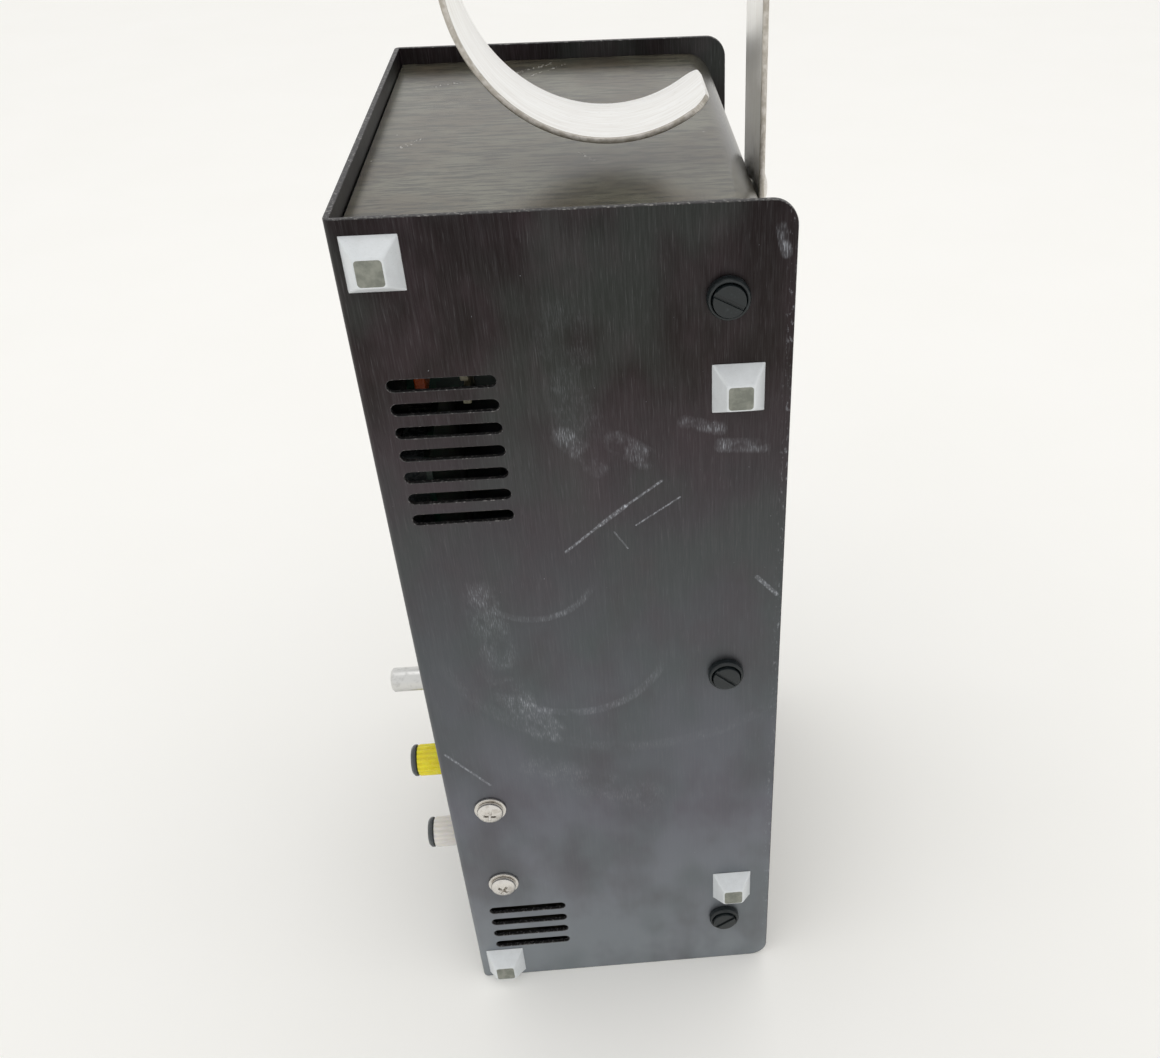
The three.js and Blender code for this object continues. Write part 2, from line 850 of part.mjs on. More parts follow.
function driveMotor() {
  const half = motorSize / 2;
  const top = shelfTop - bracketSheet - seat;
  const corners = [motorCorner, motorCorner, motorCorner, motorCorner];
  const square = outline(pinionX - half, pinionX + half, driveRow - half, driveRow + half, corners);
  const centre = [pinionX, driveRow, 0];
  const body = alongZ(square, top - motorLength, top, 1);
  const boss = bar("z", motorBoss, top - over, shelfTop, centre, 24);
  const bore = bar("z", motorShaft + running, top - motorBore, shelfTop + over, centre);
  return body.add(boss).subtract(bore);
}

function motorPinion() {
  const halfStep = Math.PI / pinionTeeth;
  const wheel = spurGear(pinionTeeth, 0, halfStep, pinionX, gearLevel, gearLevel + gearFace);
  const low = shelfTop - bracketSheet - motorShaftInside;
  const high = gearLevel + gearFace + motorShaftStand;
  return wheel.add(bar("z", motorShaft, low, high, [pinionX, driveRow, 0]));
}

function screwGear() {
  const top = gearLevel + gearFace;
  const bore = journal + seat;
  const wheel = spurGear(gearTeeth, bore, 0, driveX, gearLevel, top);
  const hub = bar("z", gearHub, top - over, top + gearHubHeight, [driveX, driveRow, 0]);
  const hole = bar("z", bore, gearLevel - over, top + gearHubHeight + over, [driveX, driveRow, 0]);
  return wheel.add(hub).subtract(hole);
}

function leadScrew() {
  const centre = [driveX, driveRow, 0];
  const threadLow = gearLevel + gearFace + gearHubHeight + threadGap;
  const thread = bar("z", screwRadius, threadLow, topPlate - threadGap, centre, 24);
  return thread.add(bar("z", journal, shelfTop - bracketSheet, topPlate + bracketSheet + screwStand, centre));
}

function guideRod(side) {
  const at = [driveX, driveRow + side * rodSpread, 0];
  return bar("z", rodRadius, shelfTop - bracketSheet, topPlate + bracketSheet + rodStand, at);
}

function carriage() {
  const [low, high] = [carriageLevel, carriageLevel + carriageHeight];
  const [left, right] = [driveX - carriageThick / 2, driveX + carriageThick / 2];
  const half = carriageWidth / 2;
  const armLow = low + (carriageHeight - armHeight) / 2;
  const armX = [gap - pusherStand, left + seat];
  const armY = [driveRow - armWidth / 2, driveRow + armWidth / 2];
  let block = box(left, right, driveRow - half, driveRow + half, low, high);
  block = block.add(box(...armX, ...armY, armLow, armLow + armHeight));
  block = block.subtract(bar("z", screwRadius + running, low - over, high + over, [driveX, driveRow, 0]));
  for (const side of [-1, 1]) {
    const at = [driveX, driveRow + side * rodSpread, 0];
    block = block.subtract(bar("z", rodRadius + running, low - over, high + over, at));
  }
  return block;
}

function pusherBlock() {
  const half = pusherWidth / 2;
  const [low, high] = [carriageLevel, carriageLevel + pusherHeight];
  const corners = [pusherCorner, 0, 0, pusherCorner];
  const face = outline(pusherFace, -pusherStand, driveRow - half, driveRow + half, corners);
  let block = alongZ(face, low, high, 2);
  const pocketX = [pusherFace - over, -pusherStand - plungerSlot.floor];
  const slotY = [driveRow - plungerSlot.half, driveRow + plungerSlot.half];
  const mouthY = [driveRow - plungerMouth, driveRow + plungerMouth];
  block = block.subtract(box(...pocketX, ...slotY, low + plungerSlot.low, low + plungerSlot.high));
  block = block.subtract(box(...pocketX, ...mouthY, low - over, low + plungerSlot.low + seat));
  const button = [0, driveRow, low + releaseLevel];
  const depth = releaseBody + releaseTravel + releaseRoom;
  return block.subtract(bar("x", releaseRadius + running, pusherFace - over, pusherFace + depth, button));
}

function releaseButton() {
  return turned([
    [0, -releaseBody],
    [releaseRadius, -releaseBody],
    [releaseRadius, releaseStand - releaseBevel],
    [releaseRadius - releaseBevel, releaseStand],
    [0, releaseStand],
  ]);
}

// ---- Syringe cradle and clamp ----

function syringeCradle() {
  const half = cradleWidth / 2;
  const [y0, y1] = [driveRow - half, driveRow + half];
  const block = box(-cradleThick, -seat, y0, y1, cradleLow, cradleHigh);
  const barrel = [-cradleThick, driveRow, 0];
  const groove = bar("z", barrelRadius, cradleLow - over, cradleHigh + over, barrel, 28);
  const slot = box(-cradleThick - over, -flangeSlotFloor, y0 - over, y1 + over, ...flangeSlot);
  return block.subtract(groove).subtract(slot);
}

function clampRodBody() {
  const at = [0, clampRow, clampLevel];
  const rod = bar("x", clampRod, gap - clampBarStand, clampInside, at);
  return rod.add(bar("x", clampCollar, clampInside - clampCollarThick, clampInside, at));
}

class Helix extends THREE.Curve {
  constructor(radius, low, high, turns) {
    super();
    Object.assign(this, { radius, low, high, turns });
  }
  getPoint(share, target = new THREE.Vector3()) {
    const angle = 2 * Math.PI * this.turns * share;
    const along = THREE.MathUtils.lerp(this.low, this.high, share);
    return target.set(along, this.radius * Math.cos(angle), this.radius * Math.sin(angle));
  }
}

// The spring that draws the clamp in, between the control face and the rod's collar.
function clampSpring() {
  const section = new THREE.Shape();
  section.absarc(0, 0, springWire, 0, 2 * Math.PI, false);
  const low = sheet + gap + springWire;
  const high = clampInside - clampCollarThick - gap - springWire;
  const extrudePath = new Helix(clampRod + gap + 2 * springWire, low, high, springTurns);
  const steps = Math.round(springTurns * 12);
  const coil = new THREE.ExtrudeGeometry(section, { steps, curveSegments: 3, extrudePath });
  coil.translate(0, clampRow, clampLevel);
  return solid(coil);
}

function clampBar() {
  const half = clampBarWidth / 2;
  const round = [half, half, half, half];
  const [y0, y1] = [clampRow - clampReach, clampRow + half];
  const plate = outline(y0, y1, clampLevel - half, clampLevel + half, round);
  return alongX(plate, -clampBarStand - clampBarThick, -clampBarStand, 4);
}

// ---- Electronics and inlet ----

function supplyBoard() {
  const [x0, z0] = supplyBoardLow;
  const [x1, z1] = supplyBoardHigh;
  return box(x0, x1, supplyBoardRow, supplyBoardRow + board, z0, z1);
}

function boardBracket() {
  const shelf = supplyBoardRow + board + gap;
  const [z0, z1] = [supplyBoardLow[1] + boardBracketEnds[0], supplyBoardHigh[1] - boardBracketEnds[1]];
  const wallX = [coverLeft, coverLeft + boardBracketSheet];
  const plate = box(coverLeft, boardBracketRight, shelf, shelf + boardBracketSheet, z0, z1);
  return plate.add(box(...wallX, shelf, shelf + boardBracketDepth, z0, z1));
}

function orangeCapacitor() {
  const levels = [capacitorLevel, capacitorLevel + capacitorHeight];
  return box(...capacitorX, partsNear, supplyBoardRow - gap, ...levels);
}

function boardConnector() {
  const top = supplyBoardRow - gap;
  const [left, right] = connectorX;
  let body = box(left, right, top - connectorBase, top, connectorLevel, connectorLevel + connectorHeight);
  const postY = [partsNear, top - connectorBase + postInset];
  for (let i = 0; i < postCount; i += 1) {
    const level = connectorLevel + postFirst + i * postPitch;
    body = body.add(box(left + postInset, right - postInset, ...postY, level, level + postHeight));
  }
  return body;
}

function transformer() {
  const floor = coverInset + sheet + seat;
  const core = box(...coreX, ...coreY, floor, floor + coreHeight);
  const windingY = [coreY[0] - windingOverhang, coreY[1] + windingOverhang];
  const corners = [windingCorner, windingCorner, windingCorner, windingCorner];
  const winding = outline(...windingX, ...windingY, corners);
  return core.add(alongZ(winding, floor + windingLevels[0], floor + windingLevels[1], 2));
}

function powerInlet() {
  const [y0, y1] = [inletRow - inletLength / 2, inletRow + inletLength / 2];
  const [z0, z1] = [inletLevel - inletHeight / 2, inletLevel + inletHeight / 2];
  const front = coverRight + seat;
  const lip = front + inletFlange;
  const back = coverRight - inletDepth;
  let body = box(back, front + inletFlange / 4, y0 + gap, y1 - gap, z0 + gap, z1 - gap);
  const corners = [inletLipEnd, inletLipEnd, inletLipEnd, inletLipEnd];
  const plate = outline(y0 - inletLip, y1 + inletLip, z0 - inletLipEnd, z1 + inletLipEnd, corners);
  body = body.add(alongX(plate, front, lip, 2));
  const socketMiddle = y1 - socketFromEnd;
  const socketY = [socketMiddle - socketHalf, socketMiddle + socketHalf];
  const socketZ = [inletLevel - socketHalfHeight, inletLevel + socketHalfHeight];
  const socket = outline(...socketY, ...socketZ, [0, 0, socketCorner, socketCorner]);
  body = body.subtract(alongX(socket, lip - socketDepth, lip + over, 1));
  for (const [y, z] of pinPlaces) {
    const pinX = [lip - socketDepth - gap, lip - pinShort];
    const pinY = [socketMiddle + y - pinHalf[0], socketMiddle + y + pinHalf[0]];
    const pinZ = [inletLevel + z - pinHalf[1], inletLevel + z + pinHalf[1]];
    body = body.add(box(...pinX, ...pinY, ...pinZ));
  }
  const halfLong = rockerLength / 2 + rockerPocketGap[0];
  const halfWide = rockerHeight / 2 + rockerPocketGap[1];
  const pocketY = [rockerRow - halfLong, rockerRow + halfLong];
  const pocketZ = [inletLevel - halfWide, inletLevel + halfWide];
  return body.subtract(box(lip - rockerPocketDepth, lip + over, ...pocketY, ...pocketZ));
}

// The rocker about its own pivot, with its two flats rising to the ends.
function rockerBody() {
  const half = rockerLength / 2;
  const shape = new THREE.Shape();
  shape.moveTo(-rockerBack, -half);
  shape.lineTo(rockerEnd, -half);
  shape.lineTo(rockerMiddle, 0);
  shape.lineTo(rockerEnd, half);
  shape.lineTo(-rockerBack, half);
  return alongZ(shape, -rockerHeight / 2, rockerHeight / 2, 1);
}

// ---- Assembly ----

add("outer_shell", outerShell(), finishes.blackAnodised);
add("inner_cover", innerCover(), finishes.coverAnodised);

footPlaces.forEach(([x, z], i) => {
  faceFootPlate(add(`foot_${i + 1}`, bumperFoot(), finishes.bumper), x, z);
});

rivetLevels.forEach((level, i) => {
  const number = i + 1;
  const black = finishes.blackPlastic;
  const opposite = farRivetBody(rivetTurns[rivetTurns.length - number]);
  faceFootPlate(add(`rivet_ring_${number}`, rivetRingBody(), black), rivetX, level);
  faceFootPlate(add(`rivet_pin_${number}`, rivetPinBody(rivetTurns[i]), black), rivetX, level);
  faceFarPlate(add(`far_rivet_${number}`, opposite, black), rivetX, level);
});

screwLevels.forEach((level, i) => {
  const base = washerThickness + seat;
  faceFootPlate(add(`bracket_washer_${i + 1}`, washerBody(), finishes.steel), screwInset, level);
  const screw = add(`bracket_screw_${i + 1}`, panHeadScrew(base, crossTurns[i]), finishes.steel);
  faceFootPlate(screw, screwInset, level);
});

add("hanger_hook", hangerHook(), finishes.aluminium);
hookScrewLevels.forEach((level, i) => {
  const screw = add(`hook_screw_${i + 1}`, panHeadScrew(seat, hookCrossTurns[i]), finishes.steel);
  faceBack(screw, hookOuter, hookMiddle, level);
});

["volume", "rate"].forEach((name, i) => {
  const knobFinish = [finishes.whitePlastic, finishes.yellowPlastic][i];
  faceControls(add(`${name}_knob`, ribbedKnob(), knobFinish), controlRow, knobLevels[i]);
  faceControls(add(`${name}_knob_cap`, knobCapBody(), finishes.greyPlastic), controlRow, knobLevels[i]);
  faceControls(add(`${name}_shaft`, controlShaft(), finishes.steel), controlRow, knobLevels[i]);
});
faceControls(add("selector_knob", selectorKnob(), finishes.aluminium), controlRow, knobLevels[2]);
["volume", "rate", "selector"].forEach((name, i) => {
  faceControls(add(`${name}_control`, controlBody(), finishes.zincSheet), controlRow, knobLevels[i]);
});

add("display_window", displayWindow(), finishes.smokedWindow);
add("display_module", displayModule(), finishes.greyPlastic);
keyLevels.forEach((level, i) => {
  faceControls(add(`key_${i + 1}`, keyBody(), finishes.greyPlastic), keyRow, level);
});
add("panel_board", panelBoard(), finishes.boardGreen);

add("motor_bracket", motorBracket(), finishes.zincSheet);
add("top_bracket", topBracket(), finishes.zincSheet);
add("drive_motor", driveMotor(), finishes.motorBlack);
add("motor_pinion", motorPinion(), finishes.brass);
add("screw_gear", screwGear(), finishes.whitePlastic);
add("lead_screw", leadScrew(), finishes.steel);
add("guide_rod_1", guideRod(-1), finishes.steel);
add("guide_rod_2", guideRod(1), finishes.steel);
add("carriage", carriage(), finishes.aluminium);
add("pusher_block", pusherBlock(), finishes.blackPlastic);
const button = add("release_button", releaseButton(), finishes.greyPlastic);
faceControls(button, driveRow, carriageLevel + releaseLevel, pusherFace);

add("syringe_cradle", syringeCradle(), finishes.whitePlastic);
add("clamp_rod", clampRodBody(), finishes.steel);
add("clamp_bar", clampBar(), finishes.blackPlastic);
add("clamp_spring", clampSpring(), finishes.steel);

add("supply_board", supplyBoard(), finishes.boardGreen);
add("board_bracket", boardBracket(), finishes.zincSheet);
add("orange_capacitor", orangeCapacitor(), finishes.orangePart);
add("board_connector", boardConnector(), finishes.beigePart);
add("transformer", transformer(), finishes.laminations);
add("power_inlet", powerInlet(), finishes.blackPlastic);
const rocker = add("power_rocker", rockerBody(), finishes.greyPlastic);
rocker.position.set(coverRight + seat - rockerSink, rockerRow, inletLevel);
rocker.rotation.z = rockerTilt * degree;

// The part's own origin is the middle of its box, on the floor that it stands on.
const boxX = [pusherFace - releaseStand, caseWidth];
const boxY = [-seat - footHeight, caseDepth + rivetHeight];
pump.position.set(-(boxX[0] + boxX[1]) / 2, -(boxY[0] + boxY[1]) / 2, 0);

export default pump;
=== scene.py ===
# %% [markdown]
# # A bench and pole syringe pump
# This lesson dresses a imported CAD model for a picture. The pump is a folded sheet-metal case with a second
# folded cover inside it, a strip hook, bumper feet, screw rivets, knobs, and a syringe drive on one side.
# Everything is in metres in the CAD's own frame: +Z runs up the case to the hook, the plate with the feet
# faces -Y, and the control face looks along -X.

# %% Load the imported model
import math
import random

import bmesh
import bpy
from mathutils import Matrix, Vector


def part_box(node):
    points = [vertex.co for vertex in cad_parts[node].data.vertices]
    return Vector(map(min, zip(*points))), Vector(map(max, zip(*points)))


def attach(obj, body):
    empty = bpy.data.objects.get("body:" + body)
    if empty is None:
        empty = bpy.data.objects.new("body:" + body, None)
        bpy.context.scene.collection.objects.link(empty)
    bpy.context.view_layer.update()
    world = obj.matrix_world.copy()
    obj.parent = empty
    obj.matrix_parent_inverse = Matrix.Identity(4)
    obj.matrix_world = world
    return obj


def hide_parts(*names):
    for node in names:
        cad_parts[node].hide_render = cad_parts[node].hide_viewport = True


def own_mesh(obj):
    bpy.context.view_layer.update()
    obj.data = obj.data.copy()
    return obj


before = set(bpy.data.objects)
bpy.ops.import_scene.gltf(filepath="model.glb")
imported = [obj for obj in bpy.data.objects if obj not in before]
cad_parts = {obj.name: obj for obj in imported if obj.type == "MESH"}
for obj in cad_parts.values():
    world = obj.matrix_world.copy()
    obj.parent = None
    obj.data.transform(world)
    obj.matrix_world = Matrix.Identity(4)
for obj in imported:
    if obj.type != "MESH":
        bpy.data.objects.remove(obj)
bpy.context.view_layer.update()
MM = 0.001
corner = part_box("outer_shell")[0]

# %% [markdown]
# ## The camera
# The camera comes first, because every later choice is judged through it. It stands a little above the
# hook and looks down at the foot plate. The camera could be turned until the pump fills the frame, but that
# bends the upright edges more, so a small shift does it. Depth of field stays off, so each piece is sharp.

# %% Camera
camera = bpy.data.objects.new("camera", bpy.data.cameras.new("camera"))
bpy.context.scene.collection.objects.link(camera)
camera.location = (0.0171, -0.32065, 0.3628)
camera.rotation_euler = [math.radians(angle) for angle in (50.815, 0.897, -4.962)]
camera.data.sensor_width = 36
camera.data.lens = 36.14
camera.data.shift_x = -0.0917
camera.data.shift_y = 0.0767
camera.data.clip_start = 0.01
bpy.context.scene.camera = camera
print("camera height in mm:", round(camera.location.z / MM))

# %% [markdown]
# ## Measures
# The case is easiest to talk about in millimetres from the corner where the foot plate, the control face
# and the lower end meet. Each mesh below is built in those millimetres, and one function at the end moves
# it into the frame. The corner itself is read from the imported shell, so nothing has to be fitted by eye.

# %% Case measures in millimetres
CASE_WIDTH, CASE_DEPTH, CASE_LENGTH = [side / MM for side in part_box("outer_shell")[1] - corner]
SHEET = 1.4
RIVET_X = CASE_WIDTH - 15.5
RIVET_LEVELS = (24.5, 138.5, 252.5)
KNOB_ROW = 30
KNOB_LEVELS = {"volume": 45.2, "rate": 81.5, "selector": 117.8}
KEY_ROW = 52
KEY_LEVELS = (150, 172, 194)
DRIVE_ROW = 103
DRIVE_X = 34
TRAVEL = 85
ROD_ROWS = (DRIVE_ROW - 20, DRIVE_ROW + 20)
CLAMP_ROW = 124
CLAMP_LEVEL = 60
BRACKET_SCREW_X = 13
BRACKET_SCREW_LEVELS = (51.8, 88.2)
HOOK_ROW = 46
HOOK_SCREW_LEVELS = (225, 261)
WINDOW = (20, 40, 142, 202)
INLET_OPENING = (62, 112, 18, 42)
TURNED_SIDES = 56


def node_box(node):
    """A CAD node's low and high corner in case millimetres."""
    low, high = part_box(node)
    return (low - corner) / MM, (high - corner) / MM


print("case in mm:", round(CASE_WIDTH, 2), round(CASE_DEPTH, 2), round(CASE_LENGTH, 2))

# %% [markdown]
# ## Building blocks for meshes
# Sheet metal is an outline pushed along an axis, and knobs, rivets and screws are outlines turned about an
# axis. Two small functions make those from lists of points. Holes are cut with Blender's exact Boolean,
# which leaves large flat faces whole, so that a Bevel modifier can later break each sharp edge evenly.

# %% Outlines
def arc(x, y, radius, first, last, steps):
    """Points on an arc, with its angles in degrees."""
    angles = [math.radians(first + (last - first) * i / steps) for i in range(steps + 1)]
    return [(x + radius * math.cos(a), y + radius * math.sin(a)) for a in angles]


def rounded(x0, x1, y0, y1, radii, steps=8):
    """A rectangle with a radius at each corner, from its low corner round."""
    corners = [(x0, y0, 1, 1, 180), (x1, y0, -1, 1, 270), (x1, y1, -1, -1, 0), (x0, y1, 1, -1, 90)]
    points = []
    for (x, y, inward_x, inward_y, first), radius in zip(corners, radii):
        if radius:
            points += arc(x + inward_x * radius, y + inward_y * radius, radius, first, first + 90, steps)
        else:
            points.append((x, y))
    return points


def eased(profile, radius, steps=4):
    """An open outline with each inner corner rounded off."""
    points = [Vector(p) for p in profile]
    result = [points[0]]
    for before, here, after in zip(points, points[1:], points[2:]):
        reach_in = min(radius, 0.45 * (before - here).length)
        reach_out = min(radius, 0.45 * (after - here).length)
        start = here + (before - here).normalized() * reach_in
        end = here + (after - here).normalized() * reach_out
        for i in range(steps + 1):
            share = i / steps
            result.append((1 - share) ** 2 * start + 2 * share * (1 - share) * here + share**2 * end)
    return [tuple(p) for p in result + [points[-1]]]


print("a rounded square has", len(rounded(0, 10, 0, 10, [2] * 4)), "points")

# %% Solids from outlines
def mesh_of(points, faces):
    """A closed mesh with its faces turned outwards."""
    mesh = bpy.data.meshes.new("shape")
    mesh.from_pydata([tuple(p) for p in points], [], faces)
    editor = bmesh.new()
    editor.from_mesh(mesh)
    bmesh.ops.recalc_face_normals(editor, faces=editor.faces)
    editor.to_mesh(mesh)
    editor.free()
    return mesh


def prism(outline, axis, low, high):
    """An outline in the plane across an axis, pushed from one level to another."""
    order = {"x": (2, 0, 1), "y": (0, 2, 1), "z": (0, 1, 2)}[axis]
    count = len(outline)
    points = [[(u, v, w)[k] for k in order] for w in (low, high) for u, v in outline]
    faces = [tuple(range(count)), tuple(range(count, 2 * count))]
    faces += [(i, (i + 1) % count, count + (i + 1) % count, count + i) for i in range(count)]
    return mesh_of(points, faces)


def box(x0, x1, y0, y1, z0, z1):
    """A block between two corners, for cutting and joining."""
    return prism([(x0, y0), (x1, y0), (x1, y1), (x0, y1)], "z", z0, z1)


def skinned(rows, closed=False):
    """A mesh over rows of points, where a row of one point is a pole."""
    points = [p for row in rows for p in row]
    firsts = [sum(len(row) for row in rows[:i]) for i in range(len(rows))]
    pairs = list(zip(range(len(rows)), range(1, len(rows))))
    if closed:
        pairs.append((len(rows) - 1, 0))
    faces = []
    for a, b in pairs:
        count = max(len(rows[a]), len(rows[b]))
        for i in range(count):
            near = [firsts[a] + (i + k) % len(rows[a]) for k in (0, 1)]
            far = [firsts[b] + (i + k) % len(rows[b]) for k in (1, 0)]
            face = list(dict.fromkeys(near + far))
            if len(face) > 2:
                faces.append(face)
    return points, faces


def capped(rows):
    """A closed mesh over rows of points, with a flat face on the first row and on the last."""
    points, faces = skinned(rows)
    count = len(rows[0])
    faces += [list(range(count)), list(range(len(points) - count, len(points)))]
    return mesh_of(points, faces)


def circle_row(radius, height, sides):
    """A circle of points about Z, or one point where the radius is nothing."""
    angles = [2 * math.pi * i / sides for i in range(sides)] if radius > 1e-6 else [0]
    return [(radius * math.cos(a), radius * math.sin(a), height) for a in angles]


def turned(profile, sides=TURNED_SIDES, ring=False):
    """An outline of (radius, height) turned about Z. A ring is closed back onto its first point."""
    rows = [circle_row(radius, height, sides) for radius, height in profile]
    return mesh_of(*skinned(rows, ring))


print("a turned disc has", len(turned([(0, 0), (5, 0), (5, 2), (0, 2)]).polygons), "faces")

# %% Cutting, joining and moving
def evaluated(mesh, change):
    """A mesh after a modifier, which change sets up on a passing object."""
    holder = bpy.data.objects.new("holder", mesh)
    bpy.context.scene.collection.objects.link(holder)
    change(holder)
    graph = bpy.context.evaluated_depsgraph_get()
    result = bpy.data.meshes.new_from_object(holder.evaluated_get(graph))
    bpy.data.objects.remove(holder)
    return result


def gathered(meshes):
    """Several meshes as one, side by side."""
    editor = bmesh.new()
    for mesh in meshes:
        editor.from_mesh(mesh)
    result = bpy.data.meshes.new("gathered")
    editor.to_mesh(result)
    editor.free()
    return result


def boolean(mesh, tools, operation):
    """A mesh cut or joined with tools that don't touch each other."""
    tool = bpy.data.objects.new("tool", gathered(tools))
    bpy.context.scene.collection.objects.link(tool)

    def change(holder):
        modifier = holder.modifiers.new("boolean", "BOOLEAN")
        modifier.operation = operation
        modifier.solver = "EXACT"
        modifier.object = tool

    result = evaluated(mesh, change)
    bpy.data.objects.remove(tool)
    return result


def cut(mesh, *tools):
    """A mesh with tools taken away."""
    return boolean(mesh, tools, "DIFFERENCE")


def joined(mesh, *tools):
    """A mesh with tools welded on."""
    return boolean(mesh, tools, "UNION")


print("a cut block has", len(cut(box(0, 9, 0, 9, 0, 9), box(3, 6, 3, 6, -1, 10)).polygons), "faces")

# %% Facing a side of the case
DIRECTIONS = {
    "foot": (0, -1, 0),
    "far": (0, 1, 0),
    "controls": (-1, 0, 0),
    "back": (1, 0, 0),
    "up": (0, 0, 1),
}


def facing(mesh, side, x, y, z, turn=0):
    """A piece built along Z, turned on itself, then faced to a side of the case and put in place."""
    outward = Vector(DIRECTIONS[side])
    across = Vector((0, 0, 1)) if side != "up" else Vector((0, 1, 0))
    sideways = across.cross(outward)
    basis = Matrix((sideways, across, outward)).transposed().to_4x4()
    mesh.transform(Matrix.Translation((x, y, z)) @ basis @ Matrix.Rotation(math.radians(turn), 4, "Z"))
    return mesh


def rod(radius, low, high, side, x, y, z, ease=0.3):
    """A plain bar with eased ends, from one height to another over a side of the case."""
    profile = [(0, low), (radius, low), (radius, high), (0, high)]
    return facing(turned(eased(profile, ease)), side, x, y, z)


print("a piece can face:", ", ".join(DIRECTIONS))

# %% [markdown]
# ## Putting a piece on the frame
# Each finished mesh becomes one object. It is scaled from millimetres to metres at the case corner, gets
# its finish, rides on the CAD body that moves it, and stands for the CAD node it replaces. The Bevel
# modifier breaks sharp edges by a fraction of a millimetre, since no real edge is a perfect knife edge.

# %% Place a piece
def place(name, mesh, finishes, body, nodes, edge=0, rim=-1, steps=2, sharp=32):
    """One finished object on its body, in place of CAD nodes, with broken edges of a width in millimetres."""
    mesh.transform(Matrix.Translation(corner) @ Matrix.Diagonal((MM, MM, MM, 1)))
    mesh.name = name
    chosen = [face.material_index for face in mesh.polygons]
    mesh.materials.clear()
    for finish in finishes if isinstance(finishes, list) else [finishes]:
        mesh.materials.append(finish)
    mesh.polygons.foreach_set("material_index", chosen)
    piece = bpy.data.objects.new(name, mesh)
    bpy.context.scene.collection.objects.link(piece)
    mesh.shade_smooth()
    mesh.set_sharp_from_angle(angle=math.radians(sharp))
    if edge:
        bevel = piece.modifiers.new("soft edges", "BEVEL")
        bevel.width = edge * MM
        bevel.segments = steps
        bevel.limit_method = "ANGLE"
        bevel.angle_limit = math.radians(sharp)
        bevel.use_clamp_overlap = False
        bevel.harden_normals = True
        bevel.material = rim
    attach(piece, body)
    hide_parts(*nodes)
    print(name, "has", len(mesh.polygons), "faces and rides on", body)
    return piece


# %% [markdown]
# ## Shader sums written as Python
# Every finish here is made of noise, bands and mixes, which read best as sums. This class wraps one socket
# of a material and turns Python's operators into Math nodes, also with a plain number on the left, as in
# 1 - mask. Any other node comes from its one method, which sets the settings first and then the sockets.

# %% The socket class
class Wire:
    def __init__(self, tree, socket=None):
        self.tree = tree
        self.socket = socket

    def node(self, kind, settings=None, sockets=None, out=0):
        made = self.tree.nodes.new("ShaderNode" + kind)
        for name, value in (settings or {}).items():
            if name == "stops":
                ramp = made.color_ramp
                for _ in value[2:]:
                    ramp.elements.new(0.5)
                for stop, (position, ink) in zip(ramp.elements, value):
                    stop.position = position
                    stop.color = ink
            else:
                setattr(made, name, value)
        for name, value in (sockets or {}).items():
            if isinstance(value, Wire):
                self.tree.links.new(value.socket, made.inputs[name])
            else:
                made.inputs[name].default_value = value
        return Wire(self.tree, made.outputs[out])

    def math(self, operation, *values):
        return self.node("Math", {"operation": operation}, dict(enumerate(values)))

    def __add__(self, other):
        return self.math("ADD", self, other)

    def __sub__(self, other):
        return self.math("SUBTRACT", self, other)

    def __rsub__(self, other):
        return self.math("SUBTRACT", other, self)

    def __mul__(self, other):
        return self.math("MULTIPLY", self, other)

    def __truediv__(self, other):
        return self.math("DIVIDE", self, other)

    def __pow__(self, other):
        return self.math("POWER", self, other)

    __radd__ = __add__
    __rmul__ = __mul__


print("1 - mask works on a wire:", hasattr(Wire, "__rsub__"))

# %% Helpers on wires
def ink(red, green, blue):
    """A colour given as it looks on screen, from 0 to 255, in the linear numbers that shaders use."""
    levels = [c / 255 for c in (red, green, blue)]
    return tuple(c / 12.92 if c < 0.04 else ((c + 0.055) / 1.055) ** 2.4 for c in levels) + (1,)


def band(value, low, high):
    """0 below low, 1 above high, and a smooth step between them. It falls if low is above high."""
    sockets = {"Value": value, "From Min": low, "From Max": high}
    return value.node("MapRange", {"interpolation_type": "SMOOTHSTEP"}, sockets)


def mixed(share, first, second):
    """A colour between two others."""
    return share.node("Mix", {"data_type": "RGBA"}, {0: share, 6: first, 7: second}, 2)


def grain(place_wire, stretch, detail=3, roughness=0.6, shift=0):
    """Noise whose grains are 1 / stretch millimetres long on each axis."""
    scaled = place_wire.node("VectorMath", {"operation": "MULTIPLY"}, {0: place_wire, 1: stretch})
    moved = place_wire.node("VectorMath", {"operation": "ADD"}, {0: scaled, 1: (shift, shift, shift)})
    sockets = {"Vector": moved, "Scale": 1, "Detail": detail, "Roughness": roughness}
    return place_wire.node("TexNoise", None, sockets)


def clamped(value):
    """A value held between 0 and 1."""
    return value.node("Clamp", None, {0: value})


def sine(value):
    """Even waves, one for each 2 pi of a value."""
    return value.math("SINE", value)


def raised(height, millimetres, strength=1):
    """A bump that feeds Normal."""
    return height.node("Bump", None, {"Height": height, "Distance": millimetres * MM, "Strength": strength})


def surface(name, build):
    """A material whose build function gets a place wire in case millimetres and returns shader sockets."""
    material = bpy.data.materials.new(name)
    material.use_nodes = True
    tree = material.node_tree
    tree.nodes.clear()
    start = Wire(tree)
    here = start.node("TexCoord", out="Object")
    from_corner = start.node("VectorMath", {"operation": "SUBTRACT"}, {0: here, 1: tuple(corner)})
    in_mm = start.node("VectorMath", {"operation": "SCALE"}, {0: from_corner, "Scale": 1 / MM})
    shader = start.node("BsdfPrincipled", None, build(in_mm))
    output = tree.nodes.new("ShaderNodeOutputMaterial")
    tree.links.new(shader.socket, output.inputs["Surface"])
    print("finish", name, "has", len(tree.nodes), "nodes")
    return material


print("mid grey in a shader's numbers:", round(ink(128, 128, 128)[0], 3))

